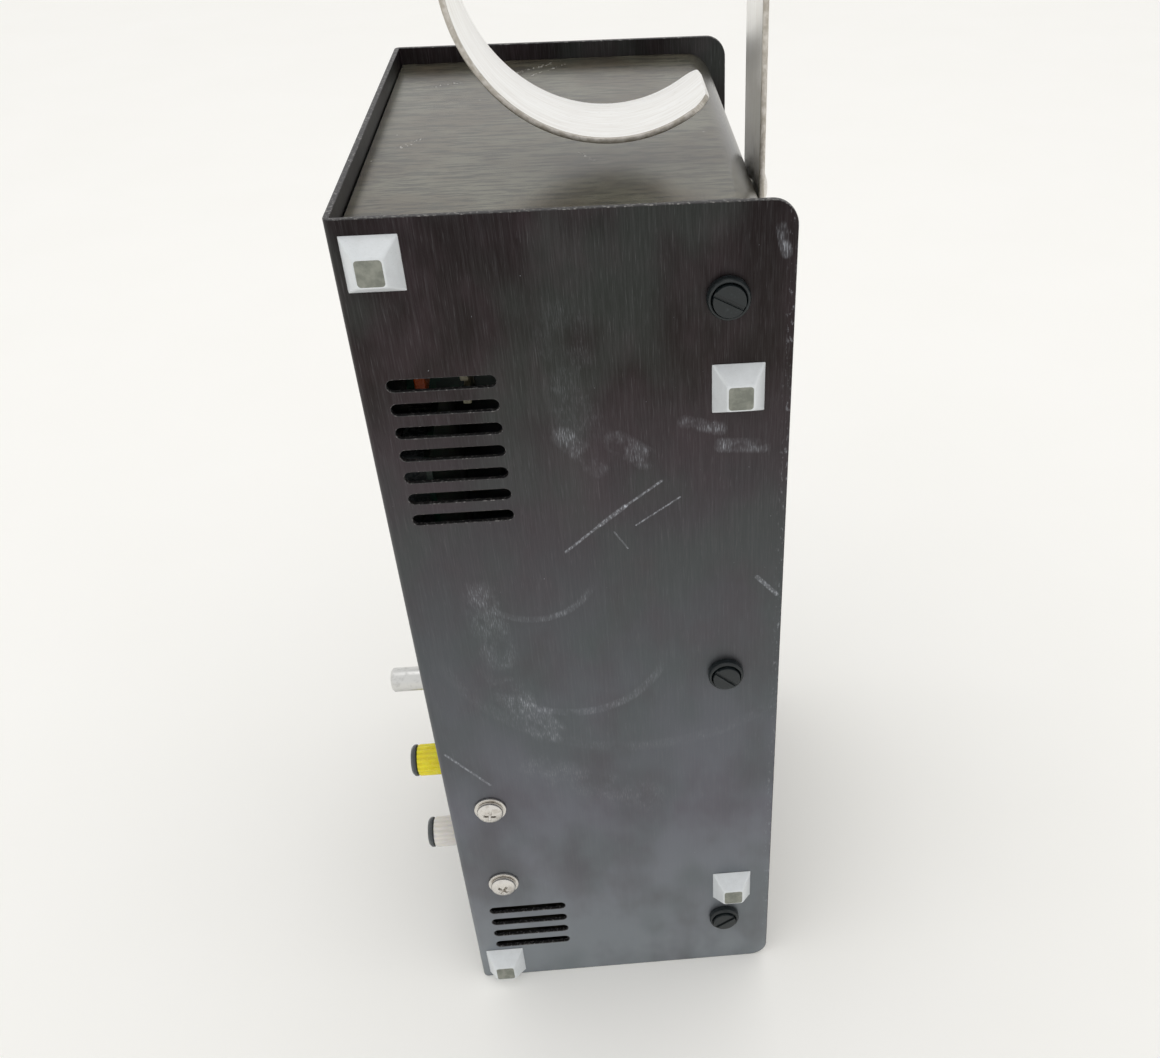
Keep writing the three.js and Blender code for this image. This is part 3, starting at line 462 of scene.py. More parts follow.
# %% [markdown]
# ## Floor and light
# A plain pale floor and soft, even light suit a catalogue picture. The floor is one large sheet with a
# faint mottle. The world gives light from everywhere, and one soft lamp overhead adds a little from above.
# Many lamps could light it as evenly, but one pale world does so without any shadow edges to hide.
# Standard colour keeps white paper white.

# %% Floor
def floor_finish(here):
    mottle = grain(here, (0.01, 0.01, 0.01), 2)
    return {"Base Color": mixed(mottle, ink(251, 250, 246), ink(254, 253, 250)), "Roughness": 0.9}


FLOOR = 4000
floor_corners = [(-FLOOR, -FLOOR), (FLOOR, -FLOOR), (FLOOR, FLOOR), (-FLOOR, FLOOR)]
floor_mesh = mesh_of([(x, y, 0) for x, y in floor_corners], [(0, 1, 2, 3)])
floor_mesh.transform(Matrix.Diagonal((MM, MM, MM, 1)))
floor = bpy.data.objects.new("floor", floor_mesh)
floor_mesh.materials.append(surface("pale floor", floor_finish))
bpy.context.scene.collection.objects.link(floor)

# %% Light
def lamp(name, size, power, position, target=(0, 0, 0.15)):
    """A soft square lamp that looks at the middle of the pump."""
    data = bpy.data.lights.new(name, "AREA")
    data.shape = "SQUARE"
    data.size = size
    data.energy = power
    holder = bpy.data.objects.new(name, data)
    bpy.context.scene.collection.objects.link(holder)
    holder.location = position
    holder.rotation_euler = (Vector(target) - Vector(position)).to_track_quat("-Z", "Y").to_euler()


world = bpy.data.worlds.new("studio")
bpy.context.scene.world = world
world.use_nodes = True
background = world.node_tree.nodes["Background"]
background.inputs["Color"].default_value = (1, 0.995, 0.985, 1)
background.inputs["Strength"].default_value = 0.93
lamp("overhead lamp", 0.6, 1.6, (0.0, 0.1, 1.5))
bpy.context.scene.view_settings.view_transform = "Standard"
print("lamps:", len(bpy.data.lights))

# %% [markdown]
# ## Anodised aluminium
# The outer case is aluminium brushed along its length and dyed black. Its look is a dark metal that
# reflects the bench, with fine streaks in its tint, its roughness and its relief. Its base colour also
# carries a painted reflection, pale grey at the lower end and near black at the top. Years of use have
# added scuffs, so the worn places are lighter, rougher and less metallic. They could be painted by hand,
# but here each one is a distance from a line or a circle, broken up by the same streaks that the brushing
# left.

# %% Axes and distances on a wire
def axes(here):
    """The three coordinates of a place wire as wires of their own."""
    return [here.node("SeparateXYZ", None, {0: here}, out) for out in range(3)]


def from_line(u, v, start, end):
    """The square of how far a place is from a line between two points of a plane."""
    along_u, along_v = end[0] - start[0], end[1] - start[1]
    du, dv = u - start[0], v - start[1]
    held = clamped((du * along_u + dv * along_v) / (along_u**2 + along_v**2))
    return (du - held * along_u) ** 2 + (dv - held * along_v) ** 2


def line_mark(u, v, start, end, width):
    """A scratch that fades over its width, from one point to another."""
    return band(from_line(u, v, start, end), width**2, 0)


def arc_mark(u, v, middle, radius, width):
    """A scuff that follows a circle."""
    reach = ((u - middle[0]) ** 2 + (v - middle[1]) ** 2) ** 0.5
    return band((reach - radius) ** 2, width**2, 0)


print("marks on a plane:", ", ".join(mark.__name__ for mark in (line_mark, arc_mark)))


# %% Scratches on the case
SCRATCHES = [
    [(44.3, 184.4), (53.7, 192.2), 0.5],
    [(53.7, 192.2), (60.5, 197.6), 0.75],
    [(60.5, 197.6), (70.0, 204.5), 0.45],
    [(63.0, 191.5), (74.5, 199.3), 0.3],
    [(57.2, 189.8), (60.5, 184.4), 0.3],
    [(94.9, 172.1), (100.5, 165.8), 0.8],
    [(2.6, 113.1), (14.2, 98.7), 0.5],
]
print("scratches:", len(SCRATCHES))

# %% Scuffs of the case, and its painted reflection
SCUFFS = [
    [(46.4, 218.7), (54.3, 209.3), 3.4, 0.4],
    [(59.2, 216.4), (66.0, 211.4), 3.8, 0.5],
    [(85.2, 213.8), (95.2, 213.0), 2.4, 0.6],
    [(76.1, 220.9), (84.7, 218.5), 2.2, 0.4],
    [(48.0, 247.0), (50.0, 222.0), 8, 0.1],
    [(98.0, 268.0), (99.5, 262.0), 1.6, 0.6],
    [(20.0, 172.0), (23.0, 150.0), 6, 0.3],
    [(24.0, 137.0), (34.0, 120.0), 6, 0.4],
    [(30.0, 104.0), (62.0, 88.0), 8, 0.2],
]
ARCS = [
    [(34.5, 180), 17.5, 1.3, 0.32],
    [(43.5, 153.5), 26.8, 1.7, 0.34],
    [(62, 171), 60, 2.6, 0.12],
]
# Painted reflection: a base colour ramp up the case, pale grey at the lower end and near black at the top.
PAINTED_REFLECTION_RAMP = [
    (0.0, ink(141, 147, 152)),
    (0.3, ink(108, 110, 118)),
    (0.55, ink(84, 87, 91)),
    (0.72, ink(66, 63, 66)),
    (0.86, ink(36, 30, 29)),
    (1.0, ink(25, 17, 18)),
]


print("scuffs:", len(SCUFFS), "and arcs:", len(ARCS))

# %% Brushed black finish
def black_brushed(here):
    across, depth, level = axes(here)
    fine = grain(here, (6, 6, 0.18), 2)
    coarse = grain(here, (1.6, 1.6, 0.05), 3, shift=7)
    cloud = grain(here, (0.028, 0.028, 0.02), 2, shift=31)
    # Painted reflection: tone is the ramp up the case. The green and purple clouds and the streaks below are
    # the case's own tint, laid over that painted reflection.
    tone = level.node("ValToRGB", {"stops": PAINTED_REFLECTION_RAMP}, {0: level / CASE_LENGTH})
    bloom = grain(here, (0.05, 0.05, 0.03), 3, shift=53)
    greened = mixed(band(cloud, 0.42, 0.6) * 0.3, tone, ink(70, 80, 76))
    tinted = mixed(band(bloom, 0.4, 0.7) * 0.3, greened, ink(76, 62, 68))
    ticks = band(grain(here, (2.8, 2.8, 0.14), 3, shift=41), 0.56, 0.74)
    streaks = band(coarse, 0.4, 0.8) * 0.05 + band(fine, 0.4, 0.8) * 0.05 + ticks * 0.1
    streaked = mixed(streaks, tinted, ink(150, 150, 154))
    hairs = band(grain(here, (4.5, 4.5, 0.4), 2, shift=13), 0.5, 0.66)
    specks = band(grain(here, (1.1, 1.1, 0.9), 2, shift=3), 0.74, 0.8)
    flecks = band(grain(here, (1.3, 1.3, 0.5), 4, shift=61), 0.55, 0.7)
    edge = flecks * band(across, CASE_WIDTH - 3, CASE_WIDTH)
    crumbs = band(grain(here, (1.6, 1.6, 0.9), 4, shift=71), 0.46, 0.6)
    wear = specks * 0.5 + edge * 0.4
    for start, end, width in SCRATCHES:
        wear = wear + line_mark(across, level, start, end, width) * (0.12 + 0.4 * crumbs)
    haze = band(grain(here, (0.16, 0.16, 0.12), 3, shift=81), 0.35, 0.65)
    rubbed = haze * (0.15 + 0.85 * hairs)
    for start, end, width, share in SCUFFS:
        wear = wear + line_mark(across, level, start, end, width) * rubbed * share
    for middle, radius, width, share in ARCS:
        below = band(level, middle[1] - 0.25 * radius, middle[1] - 0.7 * radius)
        wear = wear + arc_mark(across, level, middle, radius, width) * rubbed * below * share
    front = band(depth, 1.2, 0.2)
    held = clamped(wear * front)
    relief = fine * 0.6 + coarse * 0.4
    return {
        "Base Color": mixed(held, streaked, ink(186, 190, 198)),
        "Metallic": 0.78 - held * 0.4,
        "Roughness": 0.36 + fine * 0.14 + held * 0.2,
        "Normal": raised(relief, 0.006, 0.5),
    }


shell_black = surface("black brushed case", black_brushed)

# %% Finish of the cut rims
def bare_rim(here):
    nicks = grain(here, (1.4, 1.4, 1.4), 3)
    return {
        "Base Color": mixed(band(nicks, 0.5, 0.72), ink(66, 65, 66), ink(150, 148, 146)),
        "Metallic": 0.8,
        "Roughness": 0.38 + nicks * 0.2,
        "Normal": raised(nicks, 0.02),
    }


shell_rim = surface("bare rim of the case", bare_rim)

# %% [markdown]
# ## The outer shell
# The shell is one sheet folded into a channel, with a foot plate, a control face and a far plate. Its free
# corners are rounded. It could be three plates side by side, but a fold is what joins them, so the channel
# is drawn from its end as one outline with real bends, pushed along the case, then cut. Faces that a
# shear or punch left are given the barer rim finish, which draws the thin light line round each slot.

# %% Outline and cutters of the shell
def channel_outline(width, depth, bend, thickness):
    """A folded sheet's section: three sides, two bends, one thickness."""
    inner = bend - thickness
    return (
        [(width, 0)]
        + arc(bend, bend, bend, 270, 180, 8)
        + arc(bend, depth - bend, bend, 180, 90, 8)
        + [(width, depth), (width, depth - thickness)]
        + arc(bend, depth - bend, inner, 90, 180, 5)
        + arc(bend, bend, inner, 180, 270, 5)
        + [(width, thickness)]
    )


VENT_PITCH = 6.25
VENT_HALF = 1.55
VENT_LEFT = 6.7
VENT_RIGHT = 32.1


def vent_cutters(first, count):
    """Cutters for a row of round-ended vents, from the lowest one up."""
    cutters = []
    for i in range(count):
        level = first + VENT_PITCH * i
        ends = [VENT_HALF - 0.001] * 4
        slot = rounded(VENT_LEFT, VENT_RIGHT, level - VENT_HALF, level + VENT_HALF, ends, 10)
        cutters.append(prism(slot, "y", -1, SHEET + 1))
    return cutters


def hole(radius, side, x, y, z, reach=3):
    """A cutter for a round hole through a side of the case."""
    return facing(turned([(0, -reach), (radius, -reach), (radius, reach), (0, reach)], 40), side, x, y, z)


print("vents:", len(vent_cutters(0, 7)), "and", len(vent_cutters(0, 4)))

# %% Outer shell
CASE_BEND = 1.8
CORNER = 6
ARM_LOW = 4
ARM_HIGH = 22
ARM_HALF = 3.5
SLOT_EASE = 0.8


def shell_mesh():
    """The folded sheet with its rounded free corners and all of its holes."""
    mesh = prism(channel_outline(CASE_WIDTH, CASE_DEPTH, CASE_BEND, SHEET), "z", 0, CASE_LENGTH)
    side_view = rounded(-5, CASE_WIDTH, 0, CASE_LENGTH, [0, CORNER, CORNER, 0], 14)
    silhouette = prism(side_view, "y", -5, CASE_DEPTH + 5)
    mesh = boolean(mesh, [silhouette], "INTERSECT")
    cutters = vent_cutters(197.1, 7) + vent_cutters(18.2, 4)
    for level in RIVET_LEVELS:
        cutters.append(hole(3, "foot", RIVET_X, 0, level))
        cutters.append(hole(3, "far", RIVET_X, CASE_DEPTH, level))
    for level in BRACKET_SCREW_LEVELS:
        cutters.append(hole(2.3, "foot", BRACKET_SCREW_X, 0, level))
    for level in KNOB_LEVELS.values():
        cutters.append(hole(3.3, "controls", 0, KNOB_ROW, level))
    for level in KEY_LEVELS:
        cutters.append(hole(4.8, "controls", 0, KEY_ROW, level))
    cutters.append(hole(3.1, "controls", 0, CLAMP_ROW, CLAMP_LEVEL))
    cutters.append(box(-1, SHEET + 1, *WINDOW))
    block = node_box("carriage")[0].z
    slot_half = ARM_HALF + SLOT_EASE
    slot_low = block + ARM_LOW - TRAVEL - SLOT_EASE
    slot_high = block + ARM_HIGH + SLOT_EASE
    arm_slot = rounded(DRIVE_ROW - slot_half, DRIVE_ROW + slot_half, slot_low, slot_high, [1] * 4, 4)
    cutters.append(prism(arm_slot, "x", -1, SHEET + 1))
    return cut(mesh, *cutters)


def mark_rims(mesh):
    """Gives the rim finish to every face that isn't part of the sheet's two skins."""
    skin = SHEET + 0.1
    past_bend = CASE_BEND + 0.4
    for face in mesh.polygons:
        x, y, _ = face.center
        near_bend = x < past_bend and (y < past_bend or y > CASE_DEPTH - past_bend)
        fold = near_bend and abs(face.normal.z) < 0.5
        plate = abs(face.normal.y) > 0.9 and not skin < y < CASE_DEPTH - skin
        side = abs(face.normal.x) > 0.9 and x < skin < y < CASE_DEPTH - skin
        face.material_index = 0 if fold or plate or side else 1
    return mesh


shell = mark_rims(shell_mesh())
place("case_shell", shell, [shell_black, shell_rim], "case", ["outer_shell"], 0.18, 1)

# %% [markdown]
# ## The inner cover
# A second sheet closes the open side. It wraps the two ends and the back with wide bends, and it was
# brushed across, so its streaks run the other way. It is a little glossier than the case, since fewer
# hands reach it. A flat sheet with a bend modifier could fold up into it, but an outline with the bends
# already in it keeps their radii exact, and two joined strips then make the flanges.

# %% Cover finish
CHIPS = [
    [(36, 128), (48, 139), 1.1],
    [(42, 126), (52, 137), 0.7],
    [(14, 118), (20, 121), 1.3],
    [(9, 62), (14, 68), 1.4],
    [(55, 52), (58, 46), 0.8],
]


def cover_brushed(here):
    across, depth, level = axes(here)
    bent = band(across, 89, 96)
    ends_fine = grain(here, (0.3, 5, 5), 2)
    back_fine = grain(here, (5, 5, 0.3), 2)
    fine = ends_fine + (back_fine - ends_fine) * bent
    ends_coarse = grain(here, (0.12, 0.9, 0.9), 4, shift=9)
    back_coarse = grain(here, (1.2, 1.2, 0.1), 4, shift=9)
    coarse = ends_coarse + (back_coarse - ends_coarse) * bent
    cloud = grain(here, (0.05, 0.05, 0.05), 3, shift=17)
    patchy = mixed(band(cloud, 0.35, 0.65) * (1 - 0.5 * bent), ink(92, 85, 71), ink(108, 106, 92))
    # Painted shade and dark reflection: the base colour is darkened over the bend towards the back.
    tone = mixed(bent * 0.65, patchy, ink(50, 50, 48))
    streaked = mixed(band(coarse, 0.45, 0.6) * (0.65 - 0.35 * bent), tone, ink(34, 35, 31))
    crumbs = band(grain(here, (1.2, 1.2, 1.2), 4, shift=5), 0.55, 0.68)
    wear = band(grain(here, (0.6, 0.6, 0.6), 3, shift=21), 0.76, 0.8) * 0.5
    for start, end, width in CHIPS:
        wear = wear + line_mark(across, depth, start, end, width) * crumbs
    held = clamped(wear * band(level, 266, 268))
    return {
        "Base Color": mixed(held, streaked, ink(215, 213, 208)),
        "Metallic": 0.4 - held * 0.2,
        "Roughness": 0.17 + fine * 0.12 + held * 0.2,
        "Normal": raised(fine * 0.6 + coarse * 0.4, 0.012, 0.8),
    }


cover_black = surface("black brushed cover", cover_brushed)

# %% Inner cover
COVER_BEND = 8
COVER_LIP = 12


def cover_mesh():
    """The cover's section pushed across the case, with a flange along each side of its back."""
    low, high = node_box("inner_cover")
    left, right = low.x, high.x
    middle = right - COVER_BEND
    bend_low, bend_high = low.z + COVER_BEND, high.z - COVER_BEND
    lip_low, lip_high = low.z + COVER_LIP, high.z - COVER_LIP
    outline = (
        [(left, low.z)]
        + arc(middle, bend_low, COVER_BEND, 270, 360, 14)
        + arc(middle, bend_high, COVER_BEND, 0, 90, 14)
        + [(left, high.z), (left, lip_high), (left + SHEET, lip_high), (left + SHEET, high.z - SHEET)]
        + arc(middle, bend_high, COVER_BEND - SHEET, 90, 0, 12)
        + arc(middle, bend_low, COVER_BEND - SHEET, 360, 270, 12)
        + [(left + SHEET, low.z + SHEET), (left + SHEET, lip_low), (left, lip_low)]
    )
    mesh = prism(outline, "y", low.y, high.y)
    flanges = []
    for y in (low.y, high.y - SHEET):
        flanges.append(box(right - 21, right - 0.7, y, y + SHEET, bend_low, bend_high))
    mesh = joined(mesh, *flanges)
    cutters = [hole(2.3, "back", right, HOOK_ROW, level) for level in HOOK_SCREW_LEVELS]
    for level in RIVET_LEVELS:
        cutters.append(hole(3, "foot", RIVET_X, low.y, level, 2))
        cutters.append(hole(3, "far", RIVET_X, high.y, level, 2))
    cutters.append(box(right - 3, right + 1, *INLET_OPENING))
    return cut(mesh, *cutters)


place("end_cover", cover_mesh(), [cover_black, shell_rim], "case", ["inner_cover"], 0.18, 1)

# %% [markdown]
# ## The hanging hook
# The hook is one strip of bright aluminium, screwed to the back and rolled into an open loop. A sweep
# along its middle line gives it an even thickness everywhere: each row of points is the strip's own
# rounded section, set square to the line. The rows narrow towards each end, which rounds the corners as
# a file would. The brushing runs along the strip, so its grain is fine across Y and long in the loop.

# %% Hook finish
def bright_strip(here):
    fine = grain(here, (0.25, 7, 0.25), 2)
    coarse = grain(here, (0.09, 1.5, 0.09), 3, shift=5)
    marks = band(grain(here, (0.5, 1.0, 0.5), 4, shift=11), 0.62, 0.72)
    tone = mixed(band(coarse, 0.3, 0.7), ink(238, 236, 232), ink(252, 252, 250))
    return {
        "Base Color": mixed(marks * 0.25, tone, ink(196, 192, 184)),
        "Metallic": 1.0,
        "Roughness": 0.27 + fine * 0.16 + marks * 0.1,
        "Normal": raised(fine * 0.7 + coarse * 0.3, 0.012, 0.6),
    }


bright_aluminium = surface("bright brushed strip", bright_strip)


def strip_edge(here):
    lines = grain(here, (0.5, 9, 0.5), 2)
    return {
        "Base Color": mixed(band(lines, 0.35, 0.7), ink(176, 170, 160), ink(214, 210, 204)),
        "Metallic": 1.0,
        "Roughness": 0.34 + lines * 0.2,
        "Normal": raised(lines, 0.01, 0.5),
    }


cut_aluminium = surface("cut edge of the strip", strip_edge)

# %% Hook
STRIP = 1.4
STRIP_HALF = 14
HOOK_FOOT = 205
LOOP_LEVEL = 313.2
LOOP_SWEEP = 310
hook_high = node_box("hanger_hook")[1]
LOOP_RADIUS = 36
LOOP_MIDDLE = LOOP_RADIUS - STRIP / 2
LOOP_X = hook_high.x - LOOP_RADIUS
RISER = LOOP_LEVEL - HOOK_FOOT
HOOK_LENGTH = RISER + LOOP_MIDDLE * math.radians(LOOP_SWEEP)


def along_hook(reach):
    """The middle line's place and outward direction, in X and Z, at a distance from the foot."""
    if reach < RISER:
        return Vector((LOOP_X + LOOP_MIDDLE, HOOK_FOOT + reach)), Vector((1, 0))
    angle = (reach - RISER) / LOOP_MIDDLE
    outward = Vector((math.cos(angle), math.sin(angle)))
    return Vector((LOOP_X, LOOP_LEVEL)) + outward * LOOP_MIDDLE, outward


def strip_half(reach, radius=5):
    """Half the strip's width, which falls away round its end corners."""
    left = min(reach, HOOK_LENGTH - reach)
    if left >= radius:
        return STRIP_HALF
    return STRIP_HALF - radius + math.sqrt(radius**2 - (radius - left) ** 2)


def hook_mesh():
    """The strip's section swept along the riser and the loop, with two screw holes."""
    ends = [0.02, 0.2, 0.5, 1, 1.6, 2.4, 3.3, 4.2]
    middle = [5 + (HOOK_LENGTH - 10) * i / 170 for i in range(171)]
    stations = ends + middle + [HOOK_LENGTH - e for e in reversed(ends)]
    rows = []
    for reach in stations:
        place_xz, outward = along_hook(reach)
        half = strip_half(reach)
        row = []
        for y, t in rounded(-half, half, -STRIP / 2, STRIP / 2, [0.3] * 4, 3):
            row.append((place_xz.x + outward.x * t, HOOK_ROW + y, place_xz.y + outward.y * t))
        rows.append(row)
    strip_x = LOOP_X + LOOP_MIDDLE
    cutters = [hole(2.3, "back", strip_x, HOOK_ROW, level) for level in HOOK_SCREW_LEVELS]
    return cut(capped(rows), *cutters)


hook = hook_mesh()
for face in hook.polygons:
    from_middle = abs(face.center.y - HOOK_ROW)
    on_edge = abs(face.normal.y) > 0.35 or from_middle > STRIP_HALF - 0.32
    face.material_index = 1 if on_edge else 0
hook_finishes = [bright_aluminium, cut_aluminium]
place("strip_hook", hook, hook_finishes, "case", ["hanger_hook"], sharp=60)

# %% [markdown]
# ## Bumper feet
# The feet are square moulded bumpers of clear grey rubber with a sticky back. Their sides glow softly and
# their small top face shows the dark plate through it. Light inside the rubber would be slow to work out,
# so the top face has painted shade instead: a darker, greener mottle that stands for the plate seen through
# the rubber, and only the sides let a little light through below the surface.

# %% Rubber finishes
def bumper_side(here):
    haze = grain(here, (0.5, 0.5, 0.5), 3)
    dust = band(grain(here, (2.5, 2.5, 2.5), 3, shift=4), 0.58, 0.7)
    return {
        "Base Color": mixed(haze * 0.6 + dust * 0.3, ink(222, 226, 229), ink(196, 199, 200)),
        "Roughness": 0.34 + dust * 0.25,
        "Subsurface Weight": 0.25,
        "Subsurface Radius": (1.0, 1.0, 1.0),
        "Subsurface Scale": 0.0012,
        "Normal": raised(haze, 0.05, 0.4),
    }


def bumper_top_painted_shade(here):
    # Painted shade: the top face is darker and greener than the sides, for the dark plate seen through it.
    blotch = grain(here, (0.45, 0.45, 0.45), 4, shift=2)
    return {
        "Base Color": mixed(band(blotch, 0.3, 0.7), ink(110, 113, 104), ink(138, 140, 130)),
        "Roughness": 0.42 + blotch * 0.2,
        "Normal": raised(blotch, 0.08, 0.5),
    }


rubber_side = surface("clear grey rubber", bumper_side)
rubber_top_painted_shade = surface("painted shade on the clear rubber top", bumper_top_painted_shade)

# %% Feet
FOOT_BASE = 12.7
FOOT_TOP = 6.6
FOOT_ROWS = ((0, 0.25, 0), (0.04, 0.5, 0), (0.93, 0.7, 0), (0.985, 0.75, 0.1), (1, 0.8, 0.32))


def foot_mesh(low, high):
    """A tapered square foot from rows of how far out each one is, its corner radius and its inset."""
    middle = (low + high) / 2
    reach = high.y - low.y
    rows = []
    for share, ease, inset in FOOT_ROWS:
        half = (FOOT_BASE + (FOOT_TOP - FOOT_BASE) * share) / 2 - inset
        square = rounded(-half, half, -half, half, [ease] * 4, 4)
        rows.append([(middle.x + u, high.y - reach * share, middle.z + v) for u, v in square])
    mesh = capped(rows)
    for face in mesh.polygons:
        on_top = face.normal.y < -0.99 and face.center.y < low.y + 0.1
        face.material_index = 1 if on_top else 0
    return mesh


for i in range(1, 5):
    node = f"foot_{i}"
    bumper = foot_mesh(*node_box(node))
    place(f"bumper_{i}", bumper, [rubber_side, rubber_top_painted_shade], "case", [node], sharp=40)

# %% [markdown]
# ## Screw rivets, washers and screws
# Black plastic screw rivets hold the two sheets together: a stepped ring with a slotted pin turned into
# it. Steel pan-head screws with a cross recess hold the bracket and the hook. All of them are turned
# outlines with eased corners, and the slots and crosses are cut out.

# %% Black plastic finish
def black_plastic_finish(here):
    orange_peel = grain(here, (2.2, 2.2, 2.2), 3)
    dust = band(grain(here, (1.1, 1.1, 1.1), 4, shift=8), 0.56, 0.74)
    return {
        "Base Color": mixed(dust * 0.5, ink(21, 27, 29), ink(62, 68, 70)),
        "Roughness": 0.3 + dust * 0.35 + orange_peel * 0.08,
        "Specular IOR Level": 0.45,
        "Normal": raised(orange_peel, 0.02, 0.4),
    }


black_plastic = surface("black moulded plastic", black_plastic_finish)


def bright_steel(base_tone, light_tone, gloss):
    """Turned or plated metal, with its fine tool marks hinted at by a tight grain."""

    def build(here):
        fine = grain(here, (3, 3, 3), 4)
        stain = band(grain(here, (0.5, 0.5, 0.5), 3, shift=14), 0.5, 0.7)
        return {
            "Base Color": mixed(stain * 0.6 + fine * 0.3, light_tone, base_tone),
            "Metallic": 1.0,
            "Roughness": gloss + fine * 0.14 + stain * 0.08,
            "Normal": raised(fine, 0.02, 0.5),
        }

    return build


stainless = surface("stainless steel", bright_steel(ink(186, 180, 172), ink(222, 219, 214), 0.2))
zinc = surface("zinc plated sheet", bright_steel(ink(150, 154, 156), ink(192, 194, 196), 0.32))

# %% Rivets
PIN_TOP = 3.4
RING_PROFILE = [(2.1, -7), (2.9, -7), (2.9, 0.1), (5.1, 0.1), (5.1, 1.7)]
RING_PROFILE += [(4.7, 2.5), (4.25, 2.5), (4.05, 2.2), (4.05, 0.9), (2.1, 0.9)]
PIN_PROFILE = [(0, -8), (1.9, -7.5), (2, 1), (3.85, 1), (3.85, PIN_TOP), (0, PIN_TOP)]
FAR_PROFILE = [(0, -7), (2.9, -7), (2.9, 0.1), (5.1, 0.1), (5.1, 1.8), (4.6, 2.5), (3.95, 2.5), (3.95, 1.6)]
FAR_PROFILE += [(3.8, 1.6), (3.8, PIN_TOP), (0, PIN_TOP)]
RIVET_TURNS = (35, -42, -28)
DRIVER_SLOT = box(-6, 6, -0.55, 0.55, PIN_TOP - 0.6, PIN_TOP + 1)

for number, (level, turn) in enumerate(zip(RIVET_LEVELS, RIVET_TURNS), 1):
    ring = facing(turned(eased(RING_PROFILE, 0.22), ring=True), "foot", RIVET_X, 0, level)
    place(f"rivet_sleeve_{number}", ring, black_plastic, "case", [f"rivet_ring_{number}"])
    pin = facing(cut(turned(eased(PIN_PROFILE, 0.3)), DRIVER_SLOT), "foot", RIVET_X, 0, level, turn)
    place(f"rivet_slot_{number}", pin, black_plastic, "case", [f"rivet_pin_{number}"], 0.08)
    far = cut(turned(eased(FAR_PROFILE, 0.12)), DRIVER_SLOT)
    far = facing(far, "far", RIVET_X, CASE_DEPTH, level, 20 + 50 * number)
    place(f"back_rivet_{number}", far, black_plastic, "case", [f"far_rivet_{number}"], 0.08)

# %% Washers and screws
WASHER = [(2.3, 0.1), (4.9, 0.1), (4.9, 0.9), (2.3, 0.9)]


HEAD_RADIUS = 4
HEAD_RIM = 1
HEAD_HEIGHT = 2.6
CROSS = ((-1.9, 1), (-1.9, -0.35), (-0.7, -1.5), (0.7, -1.5), (1.9, -0.35), (1.9, 1))


def pan_profile(base):
    """A screw's shank and domed head, where the head sits at the base level."""
    shank = [(0, -9), (1.6, -9), (2, -8.4), (2, base), (3.8, base), (HEAD_RADIUS, base + 0.25)]
    rim, rise = base + HEAD_RIM, HEAD_HEIGHT - HEAD_RIM
    angles = [math.radians(a) for a in range(0, 90, 9)]
    dome = [(HEAD_RADIUS * math.cos(a), rim + rise * math.sin(a)) for a in angles]
    return shank + dome + [(0, base + HEAD_HEIGHT)]


def cross_recess(mesh, top):
    """A head with two crossed blades taken out of its top."""
    for quarter in (0, 90):
        blade = prism([(u, top + v) for u, v in CROSS], "y", -0.4, 0.4)
        blade.transform(Matrix.Rotation(math.radians(quarter), 4, "Z"))
        mesh = cut(mesh, blade)
    return mesh


def pan_screw(base, side, x, y, z, turn):
    """A whole screw in place on a side of the case."""
    return facing(cross_recess(turned(pan_profile(base)), base + HEAD_HEIGHT), side, x, y, z, turn)


for number, level in enumerate(BRACKET_SCREW_LEVELS, 1):
    washer = facing(turned(eased(WASHER, 0.15), ring=True), "foot", BRACKET_SCREW_X, 0, level)
    place(f"washer_{number}", washer, stainless, "case", [f"bracket_washer_{number}"])
    screw = pan_screw(1, "foot", BRACKET_SCREW_X, 0, level, 20 + 30 * number)
    place(f"case_screw_{number}", screw, stainless, "case", [f"bracket_screw_{number}"], 0.07)
for number, level in enumerate(HOOK_SCREW_LEVELS, 1):
    screw = pan_screw(0.1, "back", LOOP_X + LOOP_RADIUS, HOOK_ROW, level, 15 + 40 * number)
    place(f"strip_screw_{number}", screw, stainless, "case", [f"hook_screw_{number}"], 0.07)

# %% [markdown]
# ## Control knobs
# Two slim ribbed push-on knobs and a plain metal selector stand on the control face. A ribbed knob is a
# stack of the same wavy outline, so the rows share one count of points, and the top and bottom rows are
# drawn in a little. The coloured plastic lets some light through, and each knob has a dark end cap.

# %% Knob plastics
def moulded(dark, light, gloss, glow=0.0):
    """Moulded plastic, with a faint cloud in its colour, fingerprints in its gloss and a fine skin."""

    def build(here):
        cloud = grain(here, (0.3, 0.3, 0.3), 3, shift=2)
        skin = grain(here, (3, 3, 3), 2)
        prints = band(grain(here, (0.8, 0.8, 0.8), 4, shift=6), 0.5, 0.66)
        sockets = {
            "Base Color": mixed(band(cloud, 0.35, 0.65), dark, light),
            "Roughness": gloss + prints * 0.14 + skin * 0.05,
            "Normal": raised(skin, 0.015, 0.4),
        }
        if glow:
            sockets["Subsurface Weight"] = glow
            sockets["Subsurface Radius"] = (1.0, 0.8, 0.4)
            sockets["Subsurface Scale"] = 0.0015
        return sockets

    return build


yellow = surface("yellow clear plastic", moulded(ink(242, 224, 18), ink(250, 236, 44), 0.18, 0.3))
white = surface("white plastic", moulded(ink(231, 227, 221), ink(236, 232, 226), 0.3, 0.2))
dark_grey = surface("dark grey plastic", moulded(ink(66, 71, 73), ink(75, 80, 82), 0.24))
pale_metal = surface("pale turned aluminium", bright_steel(ink(190, 190, 188), ink(216, 216, 214), 0.24))

# %% Ribbed knobs
KNOB_RIBS = 18
KNOB_RADIUS = 5.3
KNOB_BORE = 2.2
KNOB_HIGH = 12.7
KNOB_LOW = 1.2
BORE_END = 10.8


